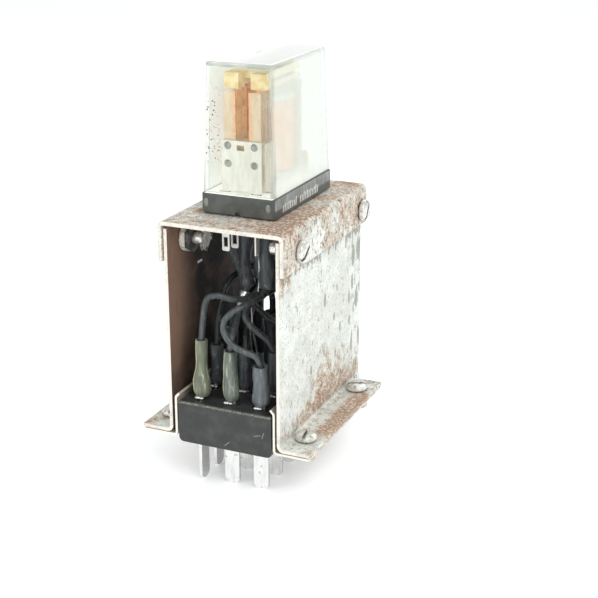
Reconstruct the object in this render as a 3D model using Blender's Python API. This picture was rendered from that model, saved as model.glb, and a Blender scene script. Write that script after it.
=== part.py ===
"""Plug in relay: a dust-covered two-pole relay on a riveted sheet steel chassis with a plug base.

Frame: +Z up, +X to the right seen from the open narrow front, +Y towards the back.
The origin is the centre of the bounding box, at the tips of the plug blades.
All dimensions below are in millimetres and are turned into metres when a mesh is made.
"""
import math

import bmesh
import bpy
from mathutils import Matrix, Vector

MM = 0.001
GAP = 0.3  # clearance between pieces that touch in reality

# ---------------------------------------------------------------- driving dimensions
# plug base
BLADE_PITCH = 7.94  # 5/16 inch grid
BLADE_COLUMNS = (-BLADE_PITCH, 0.0, BLADE_PITCH)
PLUG_ROWS = 6
LOADED_ROWS = 5  # the last row of positions is vacant
FIRST_ROW_Y = -21.1
BLADE_W = 4.0
BLADE_T = 0.8
TAIL_W = 2.2
BLADE_TOP = 25.8
PLUG_W = 25.2
PLUG_ROUND = 1.3  # radius of the body's lower long edges
PLUG_BOTTOM = 10.9
PLUG_TOP = 21.7
PLUG_FRONT = -25.4
PLUG_BACK = 23.3

# sheet metal
FOOT_Z = 13.0  # underside of the foot flanges
WALL_T = 0.9
WALL_W = 30.0  # across the outer faces
WALL_TOP = 65.4
WALL_HALF_D = 25.5
FOOT_REACH = 22.6
FOOT_BACK = 23.0
CAP_T = 1.0
CAP_TOP = 67.3
CAP_W = 32.6
CAP_SKIRT_Z = 57.3
CAP_HALF_D = 26.0
CAP_BEND_R = 1.0
BRACKET_T = 0.6
BRACKET_X = 13.25  # middle of the bracket's upright
BRACKET_Z = 12.4  # middle of the bracket's flange
BRACKET_REACH = 22.4
BRACKET_LIP = (12.3, 23.6)

# fasteners: the cap is held by screws along X, the feet by screws along Z
CAP_SCREW_Y = (-16.8, 22.3)
CAP_SCREW_Z = 61.3
CAP_SCREW_END = 8.8
FOOT_SCREW_X = 18.4
FOOT_SCREW_Y = (-17.7, 15.7)
SCREW_R = 1.5
SCREW_HOLE_R = 1.8
FOOT_SCREW_L = 4.6
CLINCH_NUT_R = 2.9
CLINCH_NUT_Z = 9.5  # lower face of the nuts pressed into the bracket flanges
HEAD_R = 2.75
HEAD_H = 1.6
NUT_FLATS = 6.35
NUT_H = 2.4
NUT_WASHER_R = 3.5
NUT_WASHER_H = 0.5

# relay case
RELAY_Y = 0.85  # centre of the relay in depth
RELAY_W = 19.4
RELAY_D = 33.9
BASE_BOTTOM = CAP_TOP + GAP
BASE_TOP = 72.5
BOSS_BOTTOM = 64.6
BOSS_W = 16.6
BOSS_D = 30.8
COVER_TOP = 103.7
COVER_T = 0.9
COVER_DRAFT = 0.9
COVER_CORNER = 1.3

# contact stack, front to back: normally open, common, normally closed
STRIP_X = (1.7, 4.8)  # inner and outer edge of a contact strip
STRIP_T = 0.4
LEAF_T = 0.25
NO_Y = -12.9
COMMON_Y = -9.9
NC_Y = -6.9
STRIP_TOP = 96.6
STACK_TOP = 84.6
STACK_BOTTOM = 73.1
STACK_HALF_W = 5.5
CLAMP_Y = (-13.9, -13.3)
CLAMP_Z = (73.3, 85.2)
CLAMP_HALF_W = 5.1
RIVET_X = 3.45
RIVET_Z = (79.7, 84.0)
RIVET_R = 0.95
CONTACT_Z = 93.0
CONTACT_R = 1.1
LEAF_CONTACT_T = 0.575
CONTACT_GAP = 0.6  # travel left open between the moving and the front contact
LEAF_ROOT_Z = 85.0
LEAF_TOP = 100.3
TONGUE_X = (2.3, 4.2)

# solder tails under the relay: (x, y) of each one's centre
TAIL_HALF_W = 1.0
TAIL_BOTTOM = 57.6
LUG_HOLE = (1.1, 2.4)
LUG_HOLE_Z = 58.7
NO_TAIL_X = {"left": -4.9, "right": 3.4}
COMMON_TAIL_X = {"left": -4.0, "right": 4.7}
NC_TAIL_X = {"left": -2.7, "right": 1.5}
COIL_TAIL_X = 4.6
COIL_TAIL_Y = 12.4
COIL_TERMINAL_TOP = 78.0

# magnet
COIL_Y = 0.9
FLANGE_R = 6.6
FLANGE_T = 1.0
BARREL_R = 2.7
BORE_R = 2.3
CORE_R = 2.0
POLE_R = 3.2
POLE_T = 0.7
WINDING_R = 6.2
BOBBIN_Z = (74.8, 94.2)
POLE_TOP = 95.4
YOKE_T = 1.4
YOKE_HALF_W = 5.0
YOKE_LEG_Y = 8.4
YOKE_FRONT_Y = -5.4
YOKE_Z = (72.9, 96.4)

# armature and card
HINGE_Y = 9.1
HINGE_Z = 96.6
ARMATURE_Z = (96.9, 98.1)
ARMATURE_HALF_W = 4.6
ARMATURE_FRONT_Y = -4.6
ARMATURE_TAIL_Y = 12.6
ARM_Y = (8.6, 9.8)
ARM_TOP = 102.4
ARM_HALF_W = 3.0
CARD_Z = (97.0, 100.7)
CARD_PLATE_Z = 99.2
CARD_X = (1.6, 5.2)
CARD_Y = (-11.6, -8.2)
CARD_BACK_Y = ARM_Y[0] - GAP
CARD_RISER_TOP = 102.2

# return spring behind the yoke
SPRING_Y = 11.7
SPRING_R = 1.0
SPRING_WIRE_R = 0.22
SPRING_Z = (86.9, 96.2)
SPRING_TURNS = 7

# hook-up leads
WIRE_R = 0.75
SLEEVE_R = 1.95
SLEEVE_TIP_R = 1.5
SLEEVE_TAPER = 0.9  # length over which a sleeve's tip closes onto the wire
SLEEVE_Z = (22.4, 62.4)  # lowest end on the plug side, highest end on the relay side
LEAD_SPLIT_Z = 42.0  # sleeves below this height sit on the plug
SLEEVE_KNEE_Z = (26.8, 57.0)  # where a sleeve may start to lean, on the plug side and on the relay side
SLEEVE_LEAN = {"lead_front_middle": (2.0, -3.3)}  # how far the tip of the relay side sleeve leans, in x and y


# ---------------------------------------------------------------- scene and materials
def clear_scene():
    for obj in list(bpy.data.objects):
        bpy.data.objects.remove(obj, do_unlink=True)


def make_material(name, color, roughness, metallic=0.0, alpha=1.0):
    material = bpy.data.materials.new(name)
    material.use_nodes = True
    shader = material.node_tree.nodes["Principled BSDF"]
    shader.inputs["Base Color"].default_value = (*color, 1.0)
    shader.inputs["Roughness"].default_value = roughness
    shader.inputs["Metallic"].default_value = metallic
    shader.inputs["Alpha"].default_value = alpha
    return material


# ---------------------------------------------------------------- mesh helpers
def add_object(name, bm, material=None, smooth_deg=None):
    """Turn a bmesh drawn in millimetres into a named object in metres."""
    bmesh.ops.recalc_face_normals(bm, faces=bm.faces)
    bmesh.ops.scale(bm, vec=(MM, MM, MM), verts=bm.verts)
    mesh = bpy.data.meshes.new(name)
    bm.to_mesh(mesh)
    bm.free()
    obj = bpy.data.objects.new(name, mesh)
    bpy.context.scene.collection.objects.link(obj)
    if material:
        mesh.materials.append(material)
    if smooth_deg:
        mesh.shade_smooth()
        mesh.set_sharp_from_angle(angle=math.radians(smooth_deg))
    return obj


def place(axis, u, v, height):
    """A point from its two coordinates across an axis, in X, Y, Z order, and its height along it."""
    if axis == "x":
        return Vector((height, u, v))
    if axis == "y":
        return Vector((u, height, v))
    return Vector((u, v, height))


def extrude(bm, outline, axis, low, high):
    """Prism over a closed outline that lies across an axis."""
    rings = []
    for height in (low, high):
        rings.append([bm.verts.new(place(axis, u, v, height)) for u, v in outline])
    bm.faces.new(rings[0])
    bm.faces.new(rings[1])
    count = len(outline)
    for i in range(count):
        j = (i + 1) % count
        bm.faces.new((rings[0][i], rings[0][j], rings[1][j], rings[1][i]))


def box(bm, low, high):
    outline = [(low[0], low[1]), (high[0], low[1]), (high[0], high[1]), (low[0], high[1])]
    extrude(bm, outline, "z", low[2], high[2])


def circle(u, v, radius, segments, start_deg=0.0):
    step = 2.0 * math.pi / segments
    start = math.radians(start_deg)
    points = []
    for i in range(segments):
        points.append((u + radius * math.cos(start + i * step), v + radius * math.sin(start + i * step)))
    return points


def turn(bm, axis, u, v, profile, segments):
    """Solid of revolution: profile runs from axis to axis as (radius, height) points."""
    rings = []
    for radius, height in profile:
        if radius == 0.0:
            rings.append([bm.verts.new(place(axis, u, v, height))])
        else:
            rings.append([bm.verts.new(place(axis, a, b, height)) for a, b in circle(u, v, radius, segments)])
    for lower, upper in zip(rings, rings[1:]):
        for i in range(segments):
            j = (i + 1) % segments
            corners = [lower[i % len(lower)], lower[j % len(lower)], upper[j % len(upper)], upper[i % len(upper)]]
            bm.faces.new(list(dict.fromkeys(corners)))


def turn_ring(bm, axis, u, v, profile, segments):
    """Ring of revolution: profile is a closed loop of (radius, height) points."""
    rings = []
    for radius, height in profile:
        rings.append([bm.verts.new(place(axis, a, b, height)) for a, b in circle(u, v, radius, segments)])
    for k, lower in enumerate(rings):
        upper = rings[(k + 1) % len(rings)]
        for i in range(segments):
            j = (i + 1) % segments
            bm.faces.new((lower[i], lower[j], upper[j], upper[i]))


def rounded_rectangle(half_w, half_d, radius, centre_y=0.0, segments=4):
    points = []
    for sx, sy, start in ((1, 1, 0), (-1, 1, 90), (-1, -1, 180), (1, -1, 270)):
        for i in range(segments + 1):
            angle = math.radians(start + 90.0 * i / segments)
            u = sx * (half_w - radius) + radius * math.cos(angle)
            v = centre_y + sy * (half_d - radius) + radius * math.sin(angle)
            points.append((u, v))
    return points


def loft(bm, rings):
    """Closed solid through equal rings of (x, y, z) points, with flat ends."""
    loops = [[bm.verts.new(point) for point in ring] for ring in rings]
    count = len(loops[0])
    for lower, upper in zip(loops, loops[1:]):
        for i in range(count):
            j = (i + 1) % count
            bm.faces.new((lower[i], lower[j], upper[j], upper[i]))
    bm.faces.new(loops[0])
    bm.faces.new(loops[-1])


def sweep(bm, points, radii, segments):
    """Closed tube along a path, with a radius at every point and flat ends."""
    along = (points[1] - points[0]).normalized()
    side = along.orthogonal().normalized()
    loops = []
    for i, (point, radius) in enumerate(zip(points, radii)):
        ahead = points[min(i + 1, len(points) - 1)]
        behind = points[max(i - 1, 0)]
        heading = (ahead - behind).normalized()
        side = (side - heading * side.dot(heading)).normalized()
        over = heading.cross(side)
        loop = []
        for k in range(segments):
            angle = 2.0 * math.pi * k / segments
            loop.append(bm.verts.new(point + (side * math.cos(angle) + over * math.sin(angle)) * radius))
        loops.append(loop)
    for lower, upper in zip(loops, loops[1:]):
        for k in range(segments):
            j = (k + 1) % segments
            bm.faces.new((lower[k], lower[j], upper[j], upper[k]))
    bm.faces.new(loops[0])
    bm.faces.new(loops[-1])


def bent_strip(path, thickness, radius, segments=5):
    """Closed outline of a sheet strip whose middle line follows a path with rounded bends."""
    middle = [Vector(path[0])]
    for before, corner, after in zip(path, path[1:], path[2:]):
        a, b, c = Vector(before), Vector(corner), Vector(after)
        enter, leave = (b - a).normalized(), (c - b).normalized()
        turn_angle = enter.angle_signed(leave)
        reach = radius * math.tan(abs(turn_angle) / 2.0)
        side = 1.0 if turn_angle > 0 else -1.0
        # angle_signed counts clockwise turns as positive in 2D
        normal = Vector((enter.y, -enter.x)) * side
        centre = b - enter * reach + normal * radius
        spoke = -normal * radius
        for i in range(segments + 1):
            swing = Matrix.Rotation(-turn_angle * i / segments, 2)
            middle.append(centre + swing @ spoke)
    middle.append(Vector(path[-1]))
    left, right = [], []
    for i, point in enumerate(middle):
        ahead = middle[min(i + 1, len(middle) - 1)]
        behind = middle[max(i - 1, 0)]
        along = (ahead - behind).normalized()
        normal = Vector((-along.y, along.x)) * thickness / 2.0
        left.append(tuple(point + normal))
        right.append(tuple(point - normal))
    return left + right[::-1]


def mirrored(points, side):
    """Outline with its first coordinate on the given side: -1 is left, 1 is right."""
    return [(side * u, v) for u, v in points]


def hidden_cutter(name, bm):
    cutter = add_object(name, bm)
    cutter.hide_render = True
    cutter.display_type = "WIRE"
    return cutter


def boolean(obj, operation, bm):
    """Cut or join a shape drawn in millimetres."""
    count = len(obj.modifiers)
    tool = hidden_cutter(f"{obj.name}_{operation.lower()}_{count}", bm)
    modifier = obj.modifiers.new(f"{operation.lower()}_{count}", "BOOLEAN")
    modifier.operation = operation
    modifier.solver = "EXACT"
    modifier.object = tool


def cut(obj, bm):
    boolean(obj, "DIFFERENCE", bm)


def join(obj, bm):
    boolean(obj, "UNION", bm)


# ---------------------------------------------------------------- chassis
def cap_bracket(steel):
    middle_x = CAP_W / 2.0 - CAP_T / 2.0
    middle_z = CAP_TOP - CAP_T / 2.0
    path = [(-middle_x, CAP_SKIRT_Z), (-middle_x, middle_z), (middle_x, middle_z), (middle_x, CAP_SKIRT_Z)]
    bm = bmesh.new()
    extrude(bm, bent_strip(path, CAP_T, CAP_BEND_R), "y", -CAP_HALF_D, CAP_HALF_D)
    cap = add_object("cap_bracket", bm, steel, smooth_deg=30)
    opening = bmesh.new()
    half_w = BOSS_W / 2.0 + GAP
    half_d = BOSS_D / 2.0 + GAP
    box(opening, (-half_w, RELAY_Y - half_d, CAP_TOP - 3.0), (half_w, RELAY_Y + half_d, CAP_TOP + 3.0))
    cut(cap, opening)
    holes = bmesh.new()
    for y in CAP_SCREW_Y:
        extrude(holes, circle(y, CAP_SCREW_Z, SCREW_HOLE_R, 16), "x", -CAP_W, CAP_W)
    cut(cap, holes)


def side_wall(name, side, steel):
    middle_x = WALL_W / 2.0 - WALL_T / 2.0
    middle_z = FOOT_Z + WALL_T / 2.0
    path = [(FOOT_REACH, middle_z), (middle_x, middle_z), (middle_x, WALL_TOP)]
    bm = bmesh.new()
    outline = mirrored(bent_strip(path, WALL_T, 1.3), side)
    extrude(bm, outline, "y", -WALL_HALF_D, WALL_HALF_D)
    wall = add_object(name, bm, steel, smooth_deg=30)
    cuts = bmesh.new()
    low_x, high_x = sorted((side * (WALL_W / 2.0 + 0.4), side * (FOOT_REACH + 2.0)))
    box(cuts, (low_x, FOOT_BACK, FOOT_Z - 2.0), (high_x, WALL_HALF_D + 2.0, FOOT_Z + 4.0))
    for y in CAP_SCREW_Y:
        low_x, high_x = sorted((side * (WALL_W / 2.0 - 4.0), side * (WALL_W / 2.0 + 2.0)))
        extrude(cuts, circle(y, CAP_SCREW_Z, SCREW_HOLE_R, 16), "x", low_x, high_x)
    for y in FOOT_SCREW_Y:
        hole = circle(side * FOOT_SCREW_X, y, SCREW_HOLE_R, 16)
        extrude(cuts, hole, "z", FOOT_Z - 2.0, FOOT_Z + 3.0)
    cut(wall, cuts)


def plug_bracket(name, side, steel):
    path = [(BRACKET_REACH, BRACKET_Z), (BRACKET_X, BRACKET_Z), (BRACKET_X, PLUG_TOP + 0.9), BRACKET_LIP]
    bm = bmesh.new()
    outline = mirrored(bent_strip(path, BRACKET_T, 0.8, segments=4), side)
    extrude(bm, outline, "y", PLUG_FRONT + 0.1, PLUG_BACK)
    bracket = add_object(name, bm, steel, smooth_deg=30)
    nuts = bmesh.new()
    for y in FOOT_SCREW_Y:
        extrude(nuts, circle(side * FOOT_SCREW_X, y, CLINCH_NUT_R, 20), "z", CLINCH_NUT_Z, BRACKET_Z)
    join(bracket, nuts)
    holes = bmesh.new()
    for y in FOOT_SCREW_Y:
        extrude(holes, circle(side * FOOT_SCREW_X, y, SCREW_HOLE_R, 16), "z", CLINCH_NUT_Z - 1.0, BRACKET_Z + 2.0)
    cut(bracket, holes)


def screw(name, axis, u, v, seat, direction, length, slot_deg, metal):
    """Slotted pan head screw: its head sits on `seat`, its shank runs against `direction`."""
    head = seat + direction * GAP
    top = head + direction * HEAD_H
    tip = seat - direction * length
    profile = [
        (0.0, top),
        (HEAD_R * 0.72, top),
        (HEAD_R * 0.95, top - direction * 0.45),
        (HEAD_R, head + direction * 0.45),
        (HEAD_R, head),
        (SCREW_R, head),
        (SCREW_R, tip + direction * 0.4),
        (SCREW_R - 0.4, tip),
        (0.0, tip),
    ]
    bm = bmesh.new()
    turn(bm, axis, u, v, profile, 16)
    obj = add_object(name, bm, metal, smooth_deg=35)
    slot = bmesh.new()
    angle = math.radians(slot_deg)
    along = Vector((math.cos(angle), math.sin(angle)))
    across = Vector((-along.y, along.x))
    corners = []
    for a, b in ((-1, -1), (1, -1), (1, 1), (-1, 1)):
        corner = Vector((u, v)) + along * a * (HEAD_R + 1.0) + across * b * 0.4
        corners.append(tuple(corner))
    low, high = sorted((top - direction * 0.75, top + direction))
    extrude(slot, corners, axis, low, high)
    cut(obj, slot)


def nut(name, side, y, metal):
    """Hex nut with a captive washer, on the inner end of a cap screw."""
    seat = side * (WALL_W / 2.0 - WALL_T - GAP)
    washer_face = seat - side * NUT_WASHER_H
    inner_face = seat - side * NUT_H
    bm = bmesh.new()
    hex_r = NUT_FLATS / math.sqrt(3.0)
    low, high = sorted((washer_face + side * 0.2, inner_face))
    extrude(bm, circle(y, CAP_SCREW_Z, hex_r, 6, 30), "x", low, high)
    obj = add_object(name, bm, metal, smooth_deg=30)
    washer = bmesh.new()
    low, high = sorted((seat, washer_face))
    extrude(washer, circle(y, CAP_SCREW_Z, NUT_WASHER_R, 20), "x", low, high)
    join(obj, washer)
    bore = bmesh.new()
    low, high = sorted((seat + side, inner_face - side))
    extrude(bore, circle(y, CAP_SCREW_Z, SCREW_HOLE_R, 16), "x", low, high)
    cut(obj, bore)


# ---------------------------------------------------------------- plug base
def blade_sites():
    """(row, column, x, y) of the loaded blades, front row first."""
    sites = []
    for row in range(LOADED_ROWS):
        for column, x in enumerate(BLADE_COLUMNS):
            sites.append((row, column, x, FIRST_ROW_Y + row * BLADE_PITCH))
    return sites


def blade_axes(column):
    """Half width and half thickness along X and Y: the left column stands edge-on to the front."""
    if column == 0:
        return (BLADE_T / 2.0, BLADE_W / 2.0)
    return (BLADE_W / 2.0, BLADE_T / 2.0)


def plug_body(bakelite):
    half = PLUG_W / 2.0
    right = []
    for i in range(5):
        angle = math.radians(-90.0 + 22.5 * i)
        x = half - PLUG_ROUND + PLUG_ROUND * math.cos(angle)
        right.append((x, PLUG_BOTTOM + PLUG_ROUND + PLUG_ROUND * math.sin(angle)))
    right += [(half, PLUG_TOP - 0.4), (half - 0.4, PLUG_TOP)]
    outline = right + [(-x, z) for x, z in right[::-1]]
    bm = bmesh.new()
    extrude(bm, outline, "y", PLUG_FRONT, PLUG_BACK)
    body = add_object("plug_body", bm, bakelite, smooth_deg=30)
    slots = bmesh.new()
    for row in range(PLUG_ROWS):
        for column, x in enumerate(BLADE_COLUMNS):
            y = FIRST_ROW_Y + row * BLADE_PITCH
            half_x, half_y = blade_axes(column)
            low = (x - half_x - GAP, y - half_y - GAP, PLUG_BOTTOM - 2.0)
            high = (x + half_x + GAP, y + half_y + GAP, PLUG_TOP + 2.0)
            box(slots, low, high)
    cut(body, slots)


def plug_blade(row, column, x, y, silver):
    """Flat blade with a round tip below and a pierced solder tail above."""
    tip = []
    for i in range(9):
        angle = math.radians(180.0 + 180.0 * i / 8)
        tip.append((BLADE_W / 2.0 * math.cos(angle), 1.5 + 1.5 * math.sin(angle)))
    shoulder = PLUG_TOP - 0.7
    outline = tip + [
        (BLADE_W / 2.0, shoulder),
        (TAIL_W / 2.0, shoulder),
        (TAIL_W / 2.0, BLADE_TOP - 0.5),
        (TAIL_W / 2.0 - 0.5, BLADE_TOP),
        (-TAIL_W / 2.0 + 0.5, BLADE_TOP),
        (-TAIL_W / 2.0, BLADE_TOP - 0.5),
        (-TAIL_W / 2.0, shoulder),
        (-BLADE_W / 2.0, shoulder),
    ]
    edge_on = column == 0
    centre, offset = (y, x) if edge_on else (x, y)
    axis = "x" if edge_on else "y"
    shifted = [(centre + u, v) for u, v in outline]
    bm = bmesh.new()
    extrude(bm, shifted, axis, offset - BLADE_T / 2.0, offset + BLADE_T / 2.0)
    blade = add_object(f"plug_blade_{row * 3 + column + 1:02d}", bm, silver)
    eye = bmesh.new()
    extrude(eye, circle(centre, BLADE_TOP - 1.7, 0.55, 8), axis, offset - BLADE_T, offset + BLADE_T)
    cut(blade, eye)


# ---------------------------------------------------------------- relay case
def tail_sites():
    """(x, y) of every solder tail that passes through the relay base."""
    sites = []
    for side in ("left", "right"):
        sites += [(NO_TAIL_X[side], NO_Y), (COMMON_TAIL_X[side], COMMON_Y), (NC_TAIL_X[side], NC_Y)]
    return sites + [(-COIL_TAIL_X, COIL_TAIL_Y), (COIL_TAIL_X, COIL_TAIL_Y)]


def relay_base(moulding):
    half_w, half_d = RELAY_W / 2.0, RELAY_D / 2.0
    rings = []
    for z, inset in ((BASE_BOTTOM, 0.25), (BASE_BOTTOM + 0.25, 0.0), (BASE_TOP - 0.2, 0.0), (BASE_TOP, 0.2)):
        ring = rounded_rectangle(half_w - inset, half_d - inset, 0.8, RELAY_Y, 3)
        rings.append([(x, y, z) for x, y in ring])
    bm = bmesh.new()
    loft(bm, rings)
    base = add_object("relay_base", bm, moulding, smooth_deg=30)
    boss = bmesh.new()
    low = (-BOSS_W / 2.0, RELAY_Y - BOSS_D / 2.0, BOSS_BOTTOM)
    box(boss, low, (BOSS_W / 2.0, RELAY_Y + BOSS_D / 2.0, BASE_BOTTOM + 0.6))
    join(base, boss)
    # snap ledges reach under the cap at the front and the back of the opening
    for end in (-1, 1):
        ledge = bmesh.new()
        inner, outer = sorted((RELAY_Y + end * (BOSS_D / 2.0 - 1.0), RELAY_Y + end * (BOSS_D / 2.0 + 0.9)))
        box(ledge, (-3.0, inner, BOSS_BOTTOM + 0.3), (3.0, outer, CAP_TOP - CAP_T - GAP))
        join(base, ledge)
    slots = bmesh.new()
    for x, y in tail_sites():
        low = (x - TAIL_HALF_W - GAP, y - STRIP_T / 2.0 - GAP, BOSS_BOTTOM - 1.0)
        box(slots, low, (x + TAIL_HALF_W + GAP, y + STRIP_T / 2.0 + GAP, BASE_TOP + 1.0))
    cut(base, slots)
    notch = bmesh.new()
    front = RELAY_Y - half_d
    box(notch, (-0.8, front - 1.0, BASE_BOTTOM - 1.0), (0.5, front + 0.9, BASE_BOTTOM + 0.9))
    cut(base, notch)


def cover_ring(z, inset, corner):
    """Cross-section of the cover at a height, with its draft, as 3D points."""
    bottom = BASE_TOP + GAP
    rise = (z - bottom) / (COVER_TOP - bottom)
    pull = inset + COVER_DRAFT * rise + 0.15
    ring = rounded_rectangle(RELAY_W / 2.0 - pull, RELAY_D / 2.0 - pull, max(corner, 0.2), RELAY_Y)
    return [(x, y, z) for x, y in ring]


def relay_cover(clear):
    """Clear moulded cover, open below, with a drafted shell and rounded edges."""
    bottom = BASE_TOP + GAP
    inner_top = COVER_TOP - COVER_T
    outer = [
        cover_ring(bottom, 0.0, COVER_CORNER),
        cover_ring(COVER_TOP - 0.9, 0.0, COVER_CORNER),
        cover_ring(COVER_TOP - 0.35, 0.12, COVER_CORNER),
        cover_ring(COVER_TOP - 0.05, 0.5, COVER_CORNER),
        cover_ring(COVER_TOP, 0.9, COVER_CORNER),
    ]
    inner = [
        cover_ring(inner_top, COVER_T + 0.5, COVER_CORNER - 0.5),
        cover_ring(inner_top - 0.4, COVER_T, COVER_CORNER - 0.5),
        cover_ring(bottom, COVER_T, COVER_CORNER - 0.5),
    ]
    bm = bmesh.new()
    loops = [[bm.verts.new(point) for point in ring] for ring in outer + inner]
    count = len(loops[0])
    pairs = list(zip(loops[:len(outer)], loops[1:len(outer)]))
    pairs += list(zip(loops[len(outer):], loops[len(outer) + 1:]))
    pairs.append((loops[-1], loops[0]))
    for lower, upper in pairs:
        for i in range(count):
            j = (i + 1) % count
            bm.faces.new((lower[i], lower[j], upper[j], upper[i]))
    bm.faces.new(loops[len(outer) - 1])
    bm.faces.new(loops[len(outer)])
    add_object("relay_cover", bm, clear, smooth_deg=40)


# ---------------------------------------------------------------- magnet
def yoke(steel):
    """L-shaped yoke: a foot under the coil and a leg behind it, with a hook for the spring."""
    z_low, z_high = YOKE_Z
    back = YOKE_LEG_Y + YOKE_T
    outline = [
        (YOKE_FRONT_Y, z_low),
        (back - 0.8, z_low),
        (back - 0.25, z_low + 0.25),
        (back, z_low + 0.8),
        (back, z_high),
        (YOKE_LEG_Y, z_high),
        (YOKE_LEG_Y, z_low + YOKE_T),
        (YOKE_FRONT_Y, z_low + YOKE_T),
    ]
    bm = bmesh.new()
    extrude(bm, outline, "x", -YOKE_HALF_W, YOKE_HALF_W)
    obj = add_object("relay_yoke", bm, steel)
    hook = bmesh.new()
    box(hook, (-0.8, back - 0.5, SPRING_Z[0] - 1.3), (0.8, SPRING_Y + 0.9, SPRING_Z[0] - 0.4))
    join(obj, hook)


def magnet(steel, nylon, copper):
    low, high = BOBBIN_Z
    core = bmesh.new()
    profile = [(0.0, low), (CORE_R, low), (CORE_R, POLE_TOP - POLE_T), (POLE_R, POLE_TOP - POLE_T),
               (POLE_R, POLE_TOP - 0.2), (POLE_R - 0.2, POLE_TOP), (0.0, POLE_TOP)]
    turn(core, "z", 0.0, COIL_Y, profile, 20)
    add_object("coil_core", core, steel, smooth_deg=35)
    bobbin = bmesh.new()
    profile = [(BORE_R, low), (FLANGE_R, low), (FLANGE_R, low + FLANGE_T), (BARREL_R, low + FLANGE_T),
               (BARREL_R, high - FLANGE_T), (FLANGE_R, high - FLANGE_T), (FLANGE_R, high), (BORE_R, high)]
    turn_ring(bobbin, "z", 0.0, COIL_Y, profile, 24)
    add_object("coil_bobbin", bobbin, nylon, smooth_deg=35)
    winding = bmesh.new()
    bottom, top = low + FLANGE_T + GAP, high - FLANGE_T - GAP
    profile = [(BARREL_R + GAP, bottom), (WINDING_R, bottom), (WINDING_R, top), (BARREL_R + GAP, top)]
    turn_ring(winding, "z", 0.0, COIL_Y, profile, 32)
    add_object("coil_winding", winding, copper, smooth_deg=35)


def armature(steel):
    """Angle armature: a flat leg over the pole, an upright arm for the card and a spring tail."""
    low, high = ARMATURE_Z
    outline = [
        (ARMATURE_FRONT_Y, low),
        (ARM_Y[1], low),
        (ARM_Y[1], high),
        (ARM_Y[0], high),
        (ARMATURE_FRONT_Y + 0.4, high),
        (ARMATURE_FRONT_Y, high - 0.4),
    ]
    bm = bmesh.new()
    extrude(bm, outline, "x", -ARMATURE_HALF_W, ARMATURE_HALF_W)
    obj = add_object("armature", bm, steel)
    arm = bmesh.new()
    box(arm, (-ARM_HALF_W, ARM_Y[0], high - 0.5), (ARM_HALF_W, ARM_Y[1], ARM_TOP))
    join(obj, arm)
    tail = bmesh.new()
    box(tail, (-1.5, ARM_Y[1] - 0.5, low), (1.5, ARMATURE_TAIL_Y, high))
    join(obj, tail)
    obj.location = (0.0, HINGE_Y * MM, HINGE_Z * MM)
    for part in [obj] + [m.object for m in obj.modifiers]:
        part.data.transform(Matrix.Translation((0.0, -HINGE_Y * MM, -HINGE_Z * MM)))
        part.location = obj.location


def return_spring(steel):
    """Close-wound extension spring, drawn as one helical wire."""
    steps_per_turn = 10
    total = SPRING_TURNS * steps_per_turn
    low, high = SPRING_Z
    points = []
    for i in range(total + 1):
        angle = 2.0 * math.pi * i / steps_per_turn
        x = SPRING_R * math.cos(angle)
        y = SPRING_Y + SPRING_R * math.sin(angle)
        points.append(Vector((x, y, low + (high - low) * i / total)))
    bm = bmesh.new()
    sweep(bm, points, [SPRING_WIRE_R] * len(points), 6)
    add_object("return_spring", bm, steel, smooth_deg=40)


# ---------------------------------------------------------------- contact stack
def clamp_plate(steel):
    bm = bmesh.new()
    low = (-CLAMP_HALF_W, CLAMP_Y[0], CLAMP_Z[0])
    box(bm, low, (CLAMP_HALF_W, CLAMP_Y[1], CLAMP_Z[1]))
    plate = add_object("clamp_plate", bm, steel)
    window = bmesh.new()
    box(window, (-1.2, CLAMP_Y[0] - 1.0, 82.9), (0.8, CLAMP_Y[1] + 1.0, 84.2))
    cut(plate, window)
    for x in (-RIVET_X, RIVET_X):
        for z in RIVET_Z:
            head = bmesh.new()
            face = CLAMP_Y[0]
            profile = [(0.0, face + 0.3), (RIVET_R, face + 0.3), (RIVET_R, face - 0.12),
                       (RIVET_R * 0.7, face - 0.35), (0.0, face - 0.35)]
            turn(head, "y", x, z, profile, 12)
            join(plate, head)


def stack_insulator(phenolic):
    bm = bmesh.new()
    low_y = NO_Y + STRIP_T / 2.0 + GAP
    high_y = NC_Y - STRIP_T / 2.0 - GAP
    box(bm, (-STACK_HALF_W, low_y, STACK_BOTTOM), (STACK_HALF_W, high_y, STACK_TOP))
    obj = add_object("stack_insulator", bm, phenolic)
    slots = bmesh.new()
    for side in (-1, 1):
        low_x, high_x = sorted((side * (STRIP_X[0] - GAP), side * (STRIP_X[1] + GAP)))
        low = (low_x, COMMON_Y - STRIP_T / 2.0 - GAP, STACK_BOTTOM - 1.0)
        box(slots, low, (high_x, COMMON_Y + STRIP_T / 2.0 + GAP, STACK_TOP + 1.0))
    cut(obj, slots)


def strip_outline(side, tail_x, top):
    """Front view of a contact strip: a solder tail, a sloping shoulder and the strip."""
    inner, outer = sorted((side * STRIP_X[0], side * STRIP_X[1]))
    left, right = tail_x - TAIL_HALF_W, tail_x + TAIL_HALF_W
    return [
        (left + 0.3, TAIL_BOTTOM),
        (right - 0.3, TAIL_BOTTOM),
        (right, TAIL_BOTTOM + 0.3),
        (right, BASE_TOP + 0.1),
        (max(right, outer), BASE_TOP + 0.35),
        (outer, STACK_BOTTOM - 0.05),
        (outer, top),
        (inner, top),
        (inner, STACK_BOTTOM - 0.05),
        (min(left, inner), BASE_TOP + 0.35),
        (left, BASE_TOP + 0.1),
        (left, TAIL_BOTTOM + 0.3),
    ]


def pierce_lug(obj, tail_x, y):
    hole = bmesh.new()
    half = LUG_HOLE[0] / 2.0
    box(hole, (tail_x - half, y - 1.0, LUG_HOLE_Z), (tail_x + half, y + 1.0, LUG_HOLE_Z + LUG_HOLE[1]))
    cut(obj, hole)


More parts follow.
